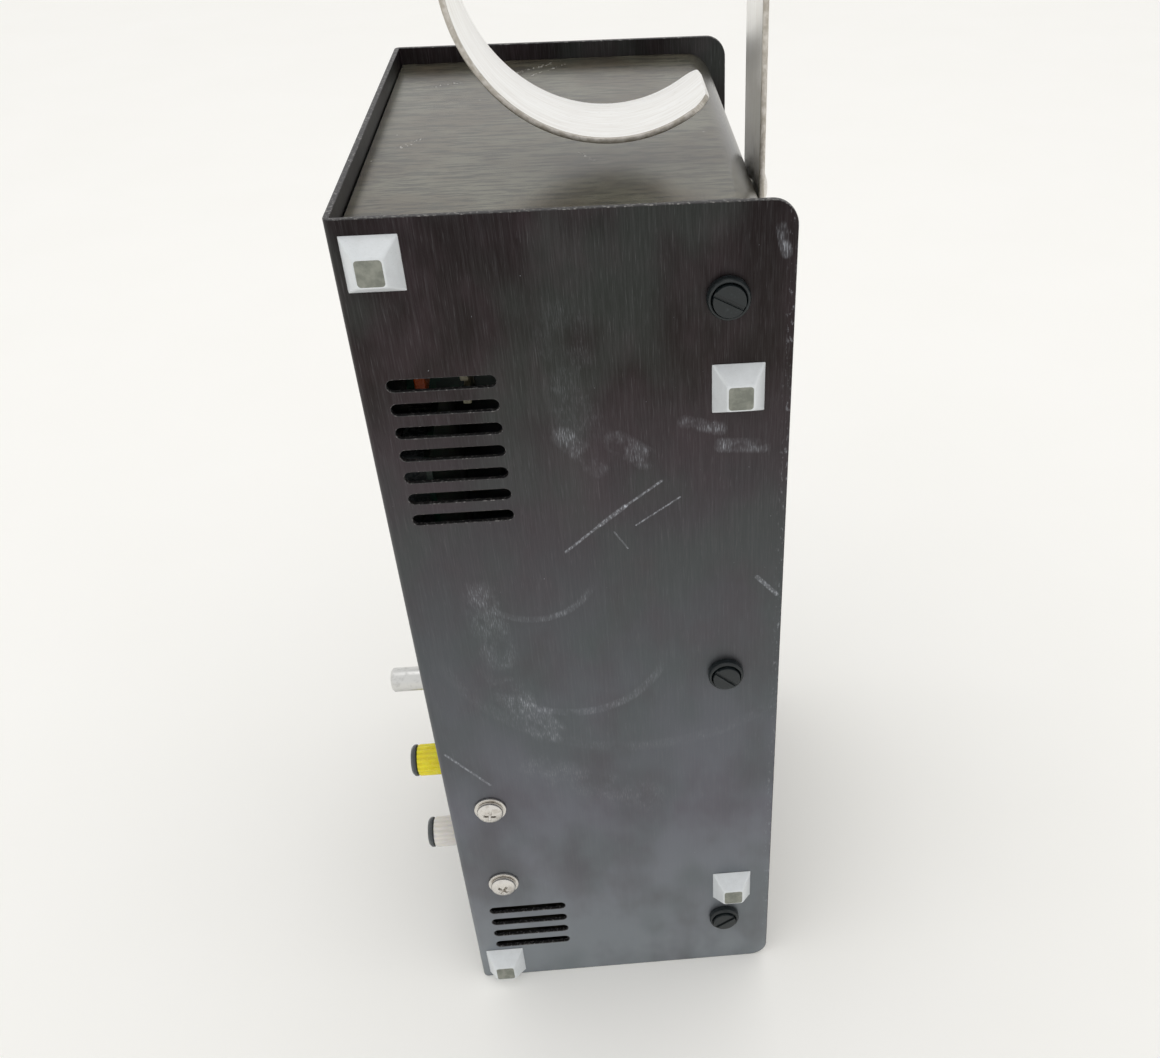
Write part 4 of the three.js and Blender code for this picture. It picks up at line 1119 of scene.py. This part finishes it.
def knob_row(radius, depth, height, per_rib=8):
    """One wavy row of points, as deep between its ribs as depth."""
    row = []
    for i in range(KNOB_RIBS * per_rib):
        angle = 2 * math.pi * i / (KNOB_RIBS * per_rib)
        wave = 0.5 + 0.5 * math.cos(KNOB_RIBS * angle)
        reach = radius - depth * (1 - wave**0.6)
        row.append((reach * math.cos(angle), reach * math.sin(angle), height))
    return row


def ribbed_mesh():
    """A ribbed knob with a blind bore, from the bore's end round to the top."""
    rows = [
        [(0, 0, BORE_END)],
        knob_row(KNOB_BORE, 0, BORE_END),
        knob_row(KNOB_BORE, 0, KNOB_LOW),
        knob_row(KNOB_RADIUS - 0.35, 0.25, KNOB_LOW),
        knob_row(KNOB_RADIUS, 0.45, KNOB_LOW + 0.35),
        knob_row(KNOB_RADIUS, 0.45, KNOB_HIGH - 0.5),
        knob_row(KNOB_RADIUS - 0.3, 0.2, KNOB_HIGH),
        [(0, 0, KNOB_HIGH)],
    ]
    return mesh_of(*skinned(rows))


CAP_PROFILE = [(0, 12.8), (4.9, 12.8), (KNOB_RADIUS, 13.1), (KNOB_RADIUS, 14)]
CAP_PROFILE += [(4.5, 14.8), (3.9, 14.8), (3.6, 14.5), (0, 14.5)]
SPINDLE_RADIUS, SPINDLE_INSIDE, SPINDLE_TIP = 2, -8.4, 9.8
for name, plastic, slot in (("volume", white, "white_plastic"), ("rate", yellow, "yellow_plastic")):
    level = KNOB_LEVELS[name]
    body = name + "_knob"
    grip = facing(ribbed_mesh(), "controls", 0, KNOB_ROW, level)
    place(name + "_grip", grip, plastic, body, [body], sharp=50)
    cap = facing(turned(eased(CAP_PROFILE, 0.25)), "controls", 0, KNOB_ROW, level)
    place(name + "_cap", cap, dark_grey, body, [body + "_cap"])
    shaft = rod(SPINDLE_RADIUS, SPINDLE_INSIDE, SPINDLE_TIP, "controls", 0, KNOB_ROW, level)
    place(name + "_spindle", shaft, stainless, body, [name + "_shaft"])

# %% Selector and the controls behind the face
SELECTOR = [(0, -8.4), (2, -8.4), (2, 1.2), (3.5, 1.2), (3.8, 1.6), (3.8, 14.6), (3.1, 15.3), (0, 15.3)]
selector = facing(turned(eased(SELECTOR, 0.15)), "controls", 0, KNOB_ROW, KNOB_LEVELS["selector"])
place("selector_post", selector, pale_metal, "selector_knob", ["selector_knob"])
CAN_OUTSIDE = [(0, -10.5), (7.5, -10.5), (7.5, -1.5), (3.2, -1.5), (3.2, 0.9)]
CAN_BORE = [(2.1, 0.9), (2.1, -8.5), (0, -8.5)]
for name, level in KNOB_LEVELS.items():
    can = facing(turned(eased(CAN_OUTSIDE, 0.3) + CAN_BORE), "controls", 0, KNOB_ROW, level)
    place(name + "_can", can, zinc, "case", [name + "_control"])

# %% [markdown]
# ## Display and keys
# A smoked window sits flush in the control face with a dark display module behind it, and three round
# keys with dished tops stand in a column beside it. The window is nearly black with a sharp gloss. The keys
# could be one mesh, but each moves on a body of its own, so each is an object of its own.

# %% Window finish
def smoked(here):
    haze = grain(here, (0.4, 0.4, 0.4), 3)
    smears = band(grain(here, (0.5, 0.35, 0.12), 4, shift=3), 0.5, 0.7)
    return {
        "Base Color": mixed(haze, ink(12, 17, 20), ink(24, 31, 34)),
        "Roughness": 0.06 + smears * 0.12,
        "Coat Weight": 0.5,
        "Normal": raised(haze, 0.01, 0.3),
    }


smoked_window = surface("smoked window", smoked)

# %% Window, module and keys
def window_outline(margin, radius):
    """The window's opening, made larger by a margin on each side."""
    y0, y1, z0, z1 = WINDOW
    return rounded(y0 - margin, y1 + margin, z0 - margin, z1 + margin, [radius] * 4, 5)


pane = prism(window_outline(-0.3, 0.8), "x", 0.3, 1.9)
lip = prism(window_outline(2, 1.5), "x", 1.7, 2.5)
place("window_pane", joined(pane, lip), smoked_window, "case", ["display_window"], 0.2)
low, high = node_box("display_module")
module = prism(rounded(low.y, high.y, low.z, high.z, [1] * 4, 4), "x", low.x, high.x)
ribs = []
for i in range(4):
    start = low.y + 4 + 6 * i
    ribs.append(box(high.x - 1, high.x + 1, start, start + 2, low.z + 6, high.z - 6))
place("window_module", cut(module, *ribs), dark_grey, "case", ["display_module"], 0.2)
KEY = [(0, -4), (3, -4), (3, -2.5), (5.5, -2.5), (5.5, -1.5), (4.5, -1.5), (4.5, 2.2)]
KEY += [(3.6, 2.2), (2.4, 1.95), (0, 1.8)]
for number, level in enumerate(KEY_LEVELS, 1):
    key = facing(turned(eased(KEY, 0.3)), "controls", 0, KEY_ROW, level)
    place(f"round_key_{number}", key, dark_grey, f"key_{number}", [f"key_{number}"])

# %% [markdown]
# ## Pusher, cradle and clamp
# The syringe lies in a white grooved cradle under a swinging bar, and a black block on the carriage pushes
# its plunger. These are moulded and machined blocks, so each is an outline pushed along one axis with its
# slots cut and its edges broken. The clamp's spring is a swept coil; on the pump it flattens as the rod is
# pulled, but here it is one fixed mesh.

# %% Pusher and its release button
low, high = node_box("pusher_block")
block_outline = rounded(low.x, high.x, low.y, high.y, [3, 0.6, 0.6, 3], 8)
block = prism(block_outline, "z", low.z, high.z)
flange_pocket = box(low.x - 1, high.x - 4, DRIVE_ROW - 10, DRIVE_ROW + 10, low.z + 2, low.z + 4.6)
plunger_way = box(low.x - 1, high.x - 4, DRIVE_ROW - 6, DRIVE_ROW + 6, low.z - 1, low.z + 2.1)
button_level = low.z + 10.5
button_hole = turned([(0, -9), (4.1, -9), (4.1, 1), (0, 1)])
button_hole = facing(button_hole, "controls", low.x, DRIVE_ROW, button_level)
grips = []
for i in range(4):
    start = low.x + 4 + 2 * i
    grips.append(box(start, start + 1, high.y - 0.6, high.y + 1, low.z + 3, high.z - 3))
for tools in ([flange_pocket], [plunger_way], [button_hole], grips):
    block = cut(block, *tools)
place("plunger_block", block, black_plastic, "carriage", ["pusher_block"], 0.35, steps=3)
BUTTON = [(0, -6), (4, -6), (4, 2.2), (3.3, 3), (2.4, 3), (1.5, 2.75), (0, 2.7)]
button = facing(turned(eased(BUTTON, 0.3)), "controls", low.x, DRIVE_ROW, button_level)
place("release_cap", button, dark_grey, "release", ["release_button"])

# %% Cradle
low, high = node_box("syringe_cradle")
BARREL = 11
cradle_outline = (
    [(high.x, low.y), (high.x, high.y)]
    + arc(low.x + 1, high.y - 1, 1, 90, 180, 4)
    + arc(low.x, DRIVE_ROW, BARREL, 90, -90, 40)
    + arc(low.x + 1, low.y + 1, 1, 180, 270, 4)
)
cradle = prism(cradle_outline, "z", low.z, high.z)
cradle = cut(cradle, box(low.x - 1, -4, low.y - 1, high.y + 1, 92, 95))
reliefs = []
for y0, y1 in ((low.y - 1, low.y + 1.2), (high.y - 1.2, high.y + 1)):
    reliefs.append(box(low.x + 4, high.x - 3, y0, y1, low.z + 6, low.z + 62))
cradle = cut(cradle, *reliefs)
place("barrel_cradle", cradle, white, "case", ["syringe_cradle"], 0.3, steps=3)

# %% Clamp rod and bar
CLAMP_STEM = [(0, -22), (5, -22), (5, -19.6), (3, -19.6), (3, 16.1), (0, 16.1)]
clamp_rod = facing(turned(eased(CLAMP_STEM, 0.3)), "controls", 0, CLAMP_ROW, CLAMP_LEVEL)
place("clamp_stem", clamp_rod, stainless, "clamp_rod", ["clamp_rod"])
low, high = node_box("clamp_bar")
half = (high.z - low.z) / 2
finger = low.y + half
bar_outline = arc(CLAMP_ROW, CLAMP_LEVEL, half, -90, 90, 16) + arc(finger, CLAMP_LEVEL, half, 90, 270, 16)
clamp_bar = prism(bar_outline, "x", low.x, high.x)
saddle = turned([(0, -30), (12, -30), (12, 30), (0, 30)])
saddle = facing(saddle, "up", high.x + 11.4, DRIVE_ROW, CLAMP_LEVEL)
finger_dish = turned([(0, -1), (5, -1), (5, 1), (0, 1)])
finger_dish = facing(finger_dish, "controls", low.x - 0.5, finger, CLAMP_LEVEL)
clamp_bar = cut(cut(clamp_bar, saddle), finger_dish)
place("clamp_finger", clamp_bar, black_plastic, "clamp_bar", ["clamp_bar"], 0.12)

# %% Clamp spring
def coil_mesh(radius, wire, first, last, turns, per_turn=36, around=10):
    """A round wire wound about X between two levels."""
    rows = []
    steps = int(turns * per_turn)
    along = Vector((1, 0, 0))
    round_wire = [2 * math.pi * k / around for k in range(around)]
    for i in range(steps + 1):
        share = i / steps
        angle = 2 * math.pi * turns * share
        outward = Vector((0, math.cos(angle), math.sin(angle)))
        middle = Vector((first + (last - first) * share, CLAMP_ROW, CLAMP_LEVEL)) + radius * outward
        rows.append([middle + wire * (math.cos(a) * outward + math.sin(a) * along) for a in round_wire])
    return capped(rows)


low, high = node_box("clamp_spring")
WIRE = 0.5
COIL_TURNS = 4.5
coil_radius = (high.y - low.y) / 2 - WIRE
spring_mesh = coil_mesh(coil_radius, WIRE, low.x + WIRE, high.x - WIRE, COIL_TURNS)
spring = place("clamp_coil", spring_mesh, stainless, "case", ["clamp_spring"])
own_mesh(spring)

# %% [markdown]
# ## The mains inlet and its switch
# The back carries one black module with an appliance socket and a rocker switch. The flange is a rounded
# plate, the socket is a pocket with three flat pins on its floor, and the rocker is a rounded wedge that
# tips in its own pocket. The pins are brass with a bright plating.

# %% Inlet
INLET_LEVEL = 30
ROCKER_ROW = 73.5
SOCKET_ROW = 97
PIN_PLACES = ((-7, -1), (0, 3), (7, -1))
low, high = node_box("power_inlet")
cover_back = node_box("inner_cover")[1].x


def flange_outline(inset, radius, steps):
    """The flange's rectangle, drawn in by an inset on each side."""
    return rounded(58 + inset, 116 - inset, 15 + inset, 45 - inset, [radius] * 4, steps)


def inlet_pocket(row, half_width, half_height, radii, steps, depth):
    """A cutter for a pocket in the front of the inlet."""
    sides = (row - half_width, row + half_width, INLET_LEVEL - half_height, INLET_LEVEL + half_height)
    return prism(rounded(*sides, radii, steps), "x", high.x - depth, high.x + 1)


y0, y1, z0, z1 = INLET_OPENING
inlet = box(low.x, cover_back + 0.6, y0 + 0.3, y1 - 0.3, z0 + 0.3, z1 - 0.3)
inlet = joined(inlet, prism(flange_outline(0, 3, 8), "x", cover_back + 0.1, high.x))
socket = inlet_pocket(SOCKET_ROW, 12, 8, [0.6, 0.6, 4, 4], 6, 16)
rocker_pocket = inlet_pocket(ROCKER_ROW, 10.2, 6.6, [0.8] * 4, 4, 9)
groove = prism(flange_outline(2, 2, 6), "x", high.x - 0.3, high.x + 1)
groove = cut(groove, prism(flange_outline(2.6, 1.6, 6), "x", high.x - 1, high.x + 2))
inlet = cut(cut(inlet, socket, rocker_pocket), groove)
place("inlet_module", inlet, black_plastic, "case", ["power_inlet"], 0.22)
brass = surface("plated brass", bright_steel(ink(176, 141, 69), ink(214, 182, 112), 0.24))
for number, (aside, above) in enumerate(PIN_PLACES, 1):
    y, z = SOCKET_ROW + aside, INLET_LEVEL + above
    pin = prism(rounded(y - 2, y + 2, z - 1, z + 1, [0.5] * 4, 4), "x", high.x - 16.2, high.x - 3)
    place(f"inlet_pin_{number}", pin, brass, "case", [], 0.3)

# %% Rocker
ROCKER_TILT = math.radians(8)
dished = [(2.1 + 1.3 * (y / 8.5) ** 2, y) for y in range(-6, 7, 2)]
rocker_profile = [(-2.5, -8.9), (3.1, -8.9), (3.4, -8.5)] + dished + [(3.4, 8.5), (3.1, 8.9), (-2.5, 8.9)]
rocker = prism(rocker_profile, "z", -6, 6)
grooves = [box(2.6 + 0.1 * i, 5, 4.2 + 1.3 * i, 4.6 + 1.3 * i, -4, 4) for i in range(3)]
rocker = cut(rocker, *grooves)
pivot = Matrix.Translation((cover_back - 0.9, ROCKER_ROW, INLET_LEVEL))
rocker.transform(pivot @ Matrix.Rotation(ROCKER_TILT, 4, "Z"))
place("rocker_key", rocker, dark_grey, "power_rocker", ["power_rocker"], 0.3, steps=3)

# %% [markdown]
# ## The drive
# A motor turns a lead screw through two spur gears, and a carriage runs on two rods beside it. The case
# hides most of this, yet the slot in the control face and the vents show parts of it, and the meshes are
# kept as parts in their own right. The screw's thread is real relief: each row of points goes round the
# screw while the phase of the thread's flank moves up by one pitch a turn.

# %% Lead screw and rods
PITCH = 4
CREST = 4.0
ROOT = 3.15
THREAD_LOW = 108
THREAD_HIGH = 249


def thread_radius(phase):
    """A trapezoid thread: crest, flank, root, flank over one turn."""
    wrapped = phase % 1
    if wrapped < 0.3:
        return CREST
    if wrapped < 0.45:
        return CREST - (CREST - ROOT) * (wrapped - 0.3) / 0.15
    if wrapped < 0.85:
        return ROOT
    return ROOT + (CREST - ROOT) * (wrapped - 0.85) / 0.15


def lead_screw_mesh(low, high, sides=24, per_pitch=10):
    """A screw between two levels, with a plain journal at each end and the thread between them."""
    lower = [(0, low), (2.7, low), (3, low + 0.3), (3, THREAD_LOW - 0.4), (ROOT, THREAD_LOW)]
    upper = [(ROOT, THREAD_HIGH), (3, THREAD_HIGH + 0.3), (3, high - 0.3), (2.7, high), (0, high)]
    rows = [circle_row(radius, level, sides) for radius, level in lower]
    for step in range(1, int((THREAD_HIGH - THREAD_LOW) / PITCH * per_pitch)):
        level = THREAD_LOW + step * PITCH / per_pitch
        row = []
        for i in range(sides):
            radius = thread_radius(level / PITCH - i / sides)
            angle = 2 * math.pi * i / sides
            row.append((radius * math.cos(angle), radius * math.sin(angle), level))
        rows.append(row)
    rows += [circle_row(radius, level, sides) for radius, level in upper]
    mesh = mesh_of(*skinned(rows))
    mesh.transform(Matrix.Translation((DRIVE_X, DRIVE_ROW, 0)))
    return mesh


low, high = node_box("lead_screw")
screw = lead_screw_mesh(low.z, high.z)
place("threaded_screw", screw, stainless, "drive_screw", ["lead_screw"], sharp=50)
for number, row in enumerate(ROD_ROWS, 1):
    low, high = node_box(f"guide_rod_{number}")
    guide = rod(4, low.z, high.z, "up", DRIVE_X, row, 0, 0.5)
    place(f"slide_rod_{number}", guide, stainless, "case", [f"guide_rod_{number}"])

# %% [markdown]
# The gears step the motor's speed down: twelve teeth on the pinion drive twenty on the wheel. A real tooth
# has a rolling curve for a flank. Ten points a tooth come close to it, and they stay inside the plain CAD
# tooth, so that the pair never touches while it turns. Holes in the wheel's web save plastic.

# %% Gears
TOOTH = 1.25
WHEEL_TEETH = 20
PINION_TEETH = 12
GEAR_LOW = 97
GEAR_HIGH = 103


def gear_outline(teeth, first, x):
    """Teeth with rounded flanks, drawn inside the plain CAD tooth so that the pair stays clear."""
    pitch_radius = TOOTH * teeth / 2
    tip, root = pitch_radius + 0.72 * TOOTH, pitch_radius - 1.1 * TOOTH
    flank = [(root, 0.3), (root + 0.3, 0.27), (pitch_radius, 0.19), (tip - 0.15, 0.1), (tip, 0.07)]
    tooth = [(radius, -share) for radius, share in flank] + flank[::-1]
    points = []
    for i in range(teeth):
        for radius, share in tooth:
            angle = first + (i + share) * 2 * math.pi / teeth
            points.append((x + radius * math.cos(angle), DRIVE_ROW + radius * math.sin(angle)))
    return points


PINION_X = DRIVE_X + TOOTH * (PINION_TEETH + WHEEL_TEETH) / 2
wheel = prism(gear_outline(WHEEL_TEETH, 0, DRIVE_X), "z", GEAR_LOW, GEAR_HIGH)
wheel_holes = [rod(3.1, GEAR_LOW - 1, GEAR_HIGH + 1, "up", DRIVE_X, DRIVE_ROW, 0)]
for k in range(6):
    angle = math.radians(60 * k + 30)
    x, y = DRIVE_X + 8 * math.cos(angle), DRIVE_ROW + 8 * math.sin(angle)
    wheel_holes.append(rod(1.6, GEAR_LOW - 1, GEAR_HIGH + 1, "up", x, y, 0))
wheel = cut(wheel, *wheel_holes)
place("screw_wheel", wheel, white, "drive_screw", ["screw_gear"], 0.15)
hub_profile = [(3.1, GEAR_HIGH), (6.3, GEAR_HIGH), (6.3, GEAR_HIGH + 4), (3.1, GEAR_HIGH + 4)]
hub = turned(eased(hub_profile, 0.3), ring=True)
hub.transform(Matrix.Translation((DRIVE_X, DRIVE_ROW, 0)))
place("screw_wheel_hub", hub, white, "drive_screw", [])
pinion = prism(gear_outline(PINION_TEETH, math.pi / PINION_TEETH, PINION_X), "z", GEAR_LOW, GEAR_HIGH)
low, high = node_box("motor_pinion")
shaft = rod(2.5, low.z, high.z, "up", PINION_X, DRIVE_ROW, 0, 0.3)
place("brass_pinion", joined(pinion, shaft), brass, "motor_rotor", ["motor_pinion"], 0.1)

# %% [markdown]
# The motor is a stack of thin steel sheets between two painted caps, held by four long screws. The sheets
# could each be a mesh, but their edges are finer than any view of them, so a wave in the relief does it.

# %% Motor
low, high = node_box("drive_motor")
motor_black = surface("black motor paint", moulded(ink(24, 25, 27), ink(40, 41, 44), 0.4))


def stacked_steel(here):
    """Thin steel sheets stacked along Z, seen as fine lines."""
    layers = sine(axes(here)[2] * 12.56)
    rust = grain(here, (0.4, 0.4, 1.2), 4)
    return {
        "Base Color": mixed(band(rust, 0.4, 0.7), ink(92, 90, 88), ink(122, 112, 100)),
        "Metallic": 0.8,
        "Roughness": 0.5 + rust * 0.2,
        "Normal": raised(layers, 0.04, 0.6),
    }


laminations = surface("stacked steel sheets", stacked_steel)
STACK_CUT = 4
CAP_HEIGHT = 10
SPIGOT = 1.6
cap_outline = rounded(low.x, high.x, low.y, high.y, [5] * 4, 3)
motor_top = high.z - SPIGOT
cap_base = motor_top - 9
top_cap = prism(cap_outline, "z", cap_base, motor_top - 0.1)
boss_profile = [(0, motor_top - 5), (11, motor_top - 5), (11, motor_top + 1.5), (10.6, high.z), (0, high.z)]
boss = turned(boss_profile)
boss.transform(Matrix.Translation((PINION_X, DRIVE_ROW, 0)))
top_cuts = [rod(2.7, motor_top - 12, motor_top + 4, "up", PINION_X, DRIVE_ROW, 0)]
for x in (low.x + 5.5, high.x - 5.5):
    for y in (low.y + 5.5, high.y - 5.5):
        top_cuts.append(hole(1.5, "up", x, y, motor_top, 4))
top_cap = cut(joined(top_cap, boss), *top_cuts)
place("motor_cap_top", top_cap, motor_black, "case", [], 0.25)
octagon = rounded(low.x, high.x, low.y, high.y, [STACK_CUT] * 4, 1)
stack = prism(octagon, "z", low.z + CAP_HEIGHT, cap_base)
place("motor_stack", stack, laminations, "case", ["drive_motor"], 0.25)
low_cap = prism(cap_outline, "z", low.z, low.z + CAP_HEIGHT)
place("motor_cap_low", low_cap, motor_black, "case", [], 0.25)

# %% [markdown]
# The three brackets are bent sheet, and their CAD shapes are already right. So each one is copied, its flat
# faces are made whole again, and its edges are broken. The carriage is a plain block with an arm that
# reaches out through the slot, bored for the screw and for two bronze sleeves that slide on the rods.

# %% Brackets and carriage
def refined(node):
    """A CAD node's own shape as a new mesh with whole flat faces, ready for broken edges."""
    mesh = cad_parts[node].data.copy()
    editor = bmesh.new()
    editor.from_mesh(mesh)
    bmesh.ops.remove_doubles(editor, verts=editor.verts, dist=1e-6)
    bmesh.ops.dissolve_limit(editor, angle_limit=math.radians(1), verts=editor.verts, edges=editor.edges)
    editor.to_mesh(mesh)
    editor.free()
    mesh.transform(Matrix.Diagonal((1 / MM, 1 / MM, 1 / MM, 1)) @ Matrix.Translation(-corner))
    return mesh


BRACKETS = {"motor_bracket": "motor_shelf", "top_bracket": "top_shelf", "board_bracket": "board_angle"}
for node, name in BRACKETS.items():
    place(name, refined(node), zinc, "case", [node], 0.15)
low, high = node_box("carriage")
carriage = box(DRIVE_X - 10, DRIVE_X + 10, DRIVE_ROW - 29, DRIVE_ROW + 29, low.z, high.z)
arm = box(low.x, 25, DRIVE_ROW - ARM_HALF, DRIVE_ROW + ARM_HALF, low.z + ARM_LOW, low.z + ARM_HIGH)
bores = [rod(5.4, low.z - 1, high.z + 1, "up", DRIVE_X, row, 0) for row in ROD_ROWS]
bores.append(rod(4.1, low.z - 1, high.z + 1, "up", DRIVE_X, DRIVE_ROW, 0))
carriage = cut(joined(carriage, arm), *bores)
place("carriage_block", carriage, pale_metal, "carriage", ["carriage"], 0.4, steps=3)
for number, row in enumerate(ROD_ROWS, 1):
    sleeve = turned(eased([(4.1, low.z), (5.3, low.z), (5.3, high.z), (4.1, high.z)], 0.2), ring=True)
    sleeve.transform(Matrix.Translation((DRIVE_X, row, 0)))
    place(f"bronze_sleeve_{number}", sleeve, brass, "carriage", [])

# %% [markdown]
# ## Boards and supply
# Behind the upper vents stands the supply board, with an orange capacitor and a row of cream posts that
# can be seen through the slots. The boards are fibreglass sheets with copper tracks, drawn as a shader:
# bands of a coarse noise held to steps look like tracks under green lacquer. Small parts are blocks with
# broken edges, placed by a seeded draw so that each run gives the same board.

# %% Board finish
def board_finish(here):
    steps = here.node("VectorMath", {"operation": "SNAP"}, {0: here, 1: (1.2, 1.2, 1.2)})
    lanes = steps.node("TexNoise", None, {"Vector": steps, "Scale": 0.13, "Detail": 1.0})
    tracks = band(lanes, 0.5, 0.52)
    fine = grain(here, (4, 4, 4), 2)
    return {
        "Base Color": mixed(tracks, ink(9, 38, 30), ink(18, 58, 42)),
        "Roughness": 0.32 + fine * 0.15,
        "Coat Weight": 0.2,
        "Normal": raised(tracks, 0.05, 0.6),
    }


board_green = surface("green lacquered board", board_finish)

# %% Supply board
orange = surface("orange dipped capacitor", moulded(ink(168, 70, 28), ink(198, 94, 40), 0.25))
cream = surface("cream moulding", moulded(ink(172, 164, 136), ink(196, 190, 164), 0.4))
chip_black = surface("chip moulding", moulded(ink(18, 19, 21), ink(32, 33, 36), 0.5))
low, high = node_box("supply_board")
sheet = box(low.x, high.x, low.y, high.y, low.z, high.z)
place("supply_sheet", sheet, board_green, "case", ["supply_board"], 0.1)
PART_X, PART_STEP_X = 32, 9
PART_Z, PART_STEP_Z = 216, 11
draw = random.Random(7)
parts = []
for column in range(4):
    for row_number in range(4):
        x = PART_X + column * PART_STEP_X + draw.uniform(-1, 1)
        z = PART_Z + row_number * PART_STEP_Z + draw.uniform(-1, 1)
        width = draw.uniform(3, 6)
        height = draw.uniform(1, 5)
        length = draw.uniform(3, 7)
        parts.append(box(x, x + width, high.y - 0.05, high.y + height, z, z + length))
place("supply_parts", gathered(parts), chip_black, "case", [], 0.2)
low, high = node_box("orange_capacitor")
capacitor = prism(rounded(low.x, high.x, low.z, high.z, [1.2] * 4, 5), "y", low.y, high.y)
place("dipped_capacitor", capacitor, orange, "case", ["orange_capacitor"], 0.5, steps=3)
low, high = node_box("board_connector")
posts = box(low.x + 0.2, high.x - 0.2, high.y - 3, high.y, low.z, high.z)
TOWER_LOW, TOWER_STEP = 214.6, 6.6
towers = []
for i in range(4):
    foot = TOWER_LOW + TOWER_STEP * i
    tower = rounded(low.x + 0.2, low.x + 2.4, foot, foot + 3, [0.4] * 4, 3)
    towers.append(prism(tower, "y", low.y, high.y - 2.8))
place("cream_posts", joined(posts, *towers), cream, "case", ["board_connector"], 0.15)

# %% Panel board
low, high = node_box("panel_board")
panel = box(10, 11.6, low.y, high.y, low.z, high.z)
place("panel_sheet", panel, board_green, "case", ["panel_board"], 0.1)
switches = [box(low.x, 9.95, KEY_ROW - 3, KEY_ROW + 3, level - 3, level + 3) for level in KEY_LEVELS]
place("panel_switches", gathered(switches), chip_black, "case", [], 0.25)

# %% [markdown]
# The transformer brings the mains down to what the board needs. It has the same stacked steel as the motor,
# with a winding at each side. The wire is a relief on a rounded block, since its turns are too fine to see.

# %% Transformer
CORE = (30, 66, 28, 60)
low, high = node_box("transformer")
core = box(*CORE, low.z, high.z)
place("supply_core", core, laminations, "case", ["transformer"], 0.3)


def wound_copper(here):
    """Turns of lacquered wire lying round the bobbin."""
    turns = sine(axes(here)[2] * 9)
    shade = grain(here, (0.3, 0.3, 3), 3)
    return {
        "Base Color": mixed(shade, ink(128, 62, 28), ink(186, 104, 52)),
        "Metallic": 0.7,
        "Roughness": 0.3 + shade * 0.15,
        "Normal": raised(turns, 0.12, 0.8),
    }


copper = surface("wound copper", wound_copper)
near = ("winding_near", low.y, CORE[2] - 0.3)
far = ("winding_far", CORE[3] + 0.3, high.y)
for name, y0, y1 in (near, far):
    winding = prism(rounded(34, 62, y0, y1, [3] * 4, 6), "z", low.z + 7, low.z + 33)
    place(name, winding, copper, "case", [], 0.8, steps=3)
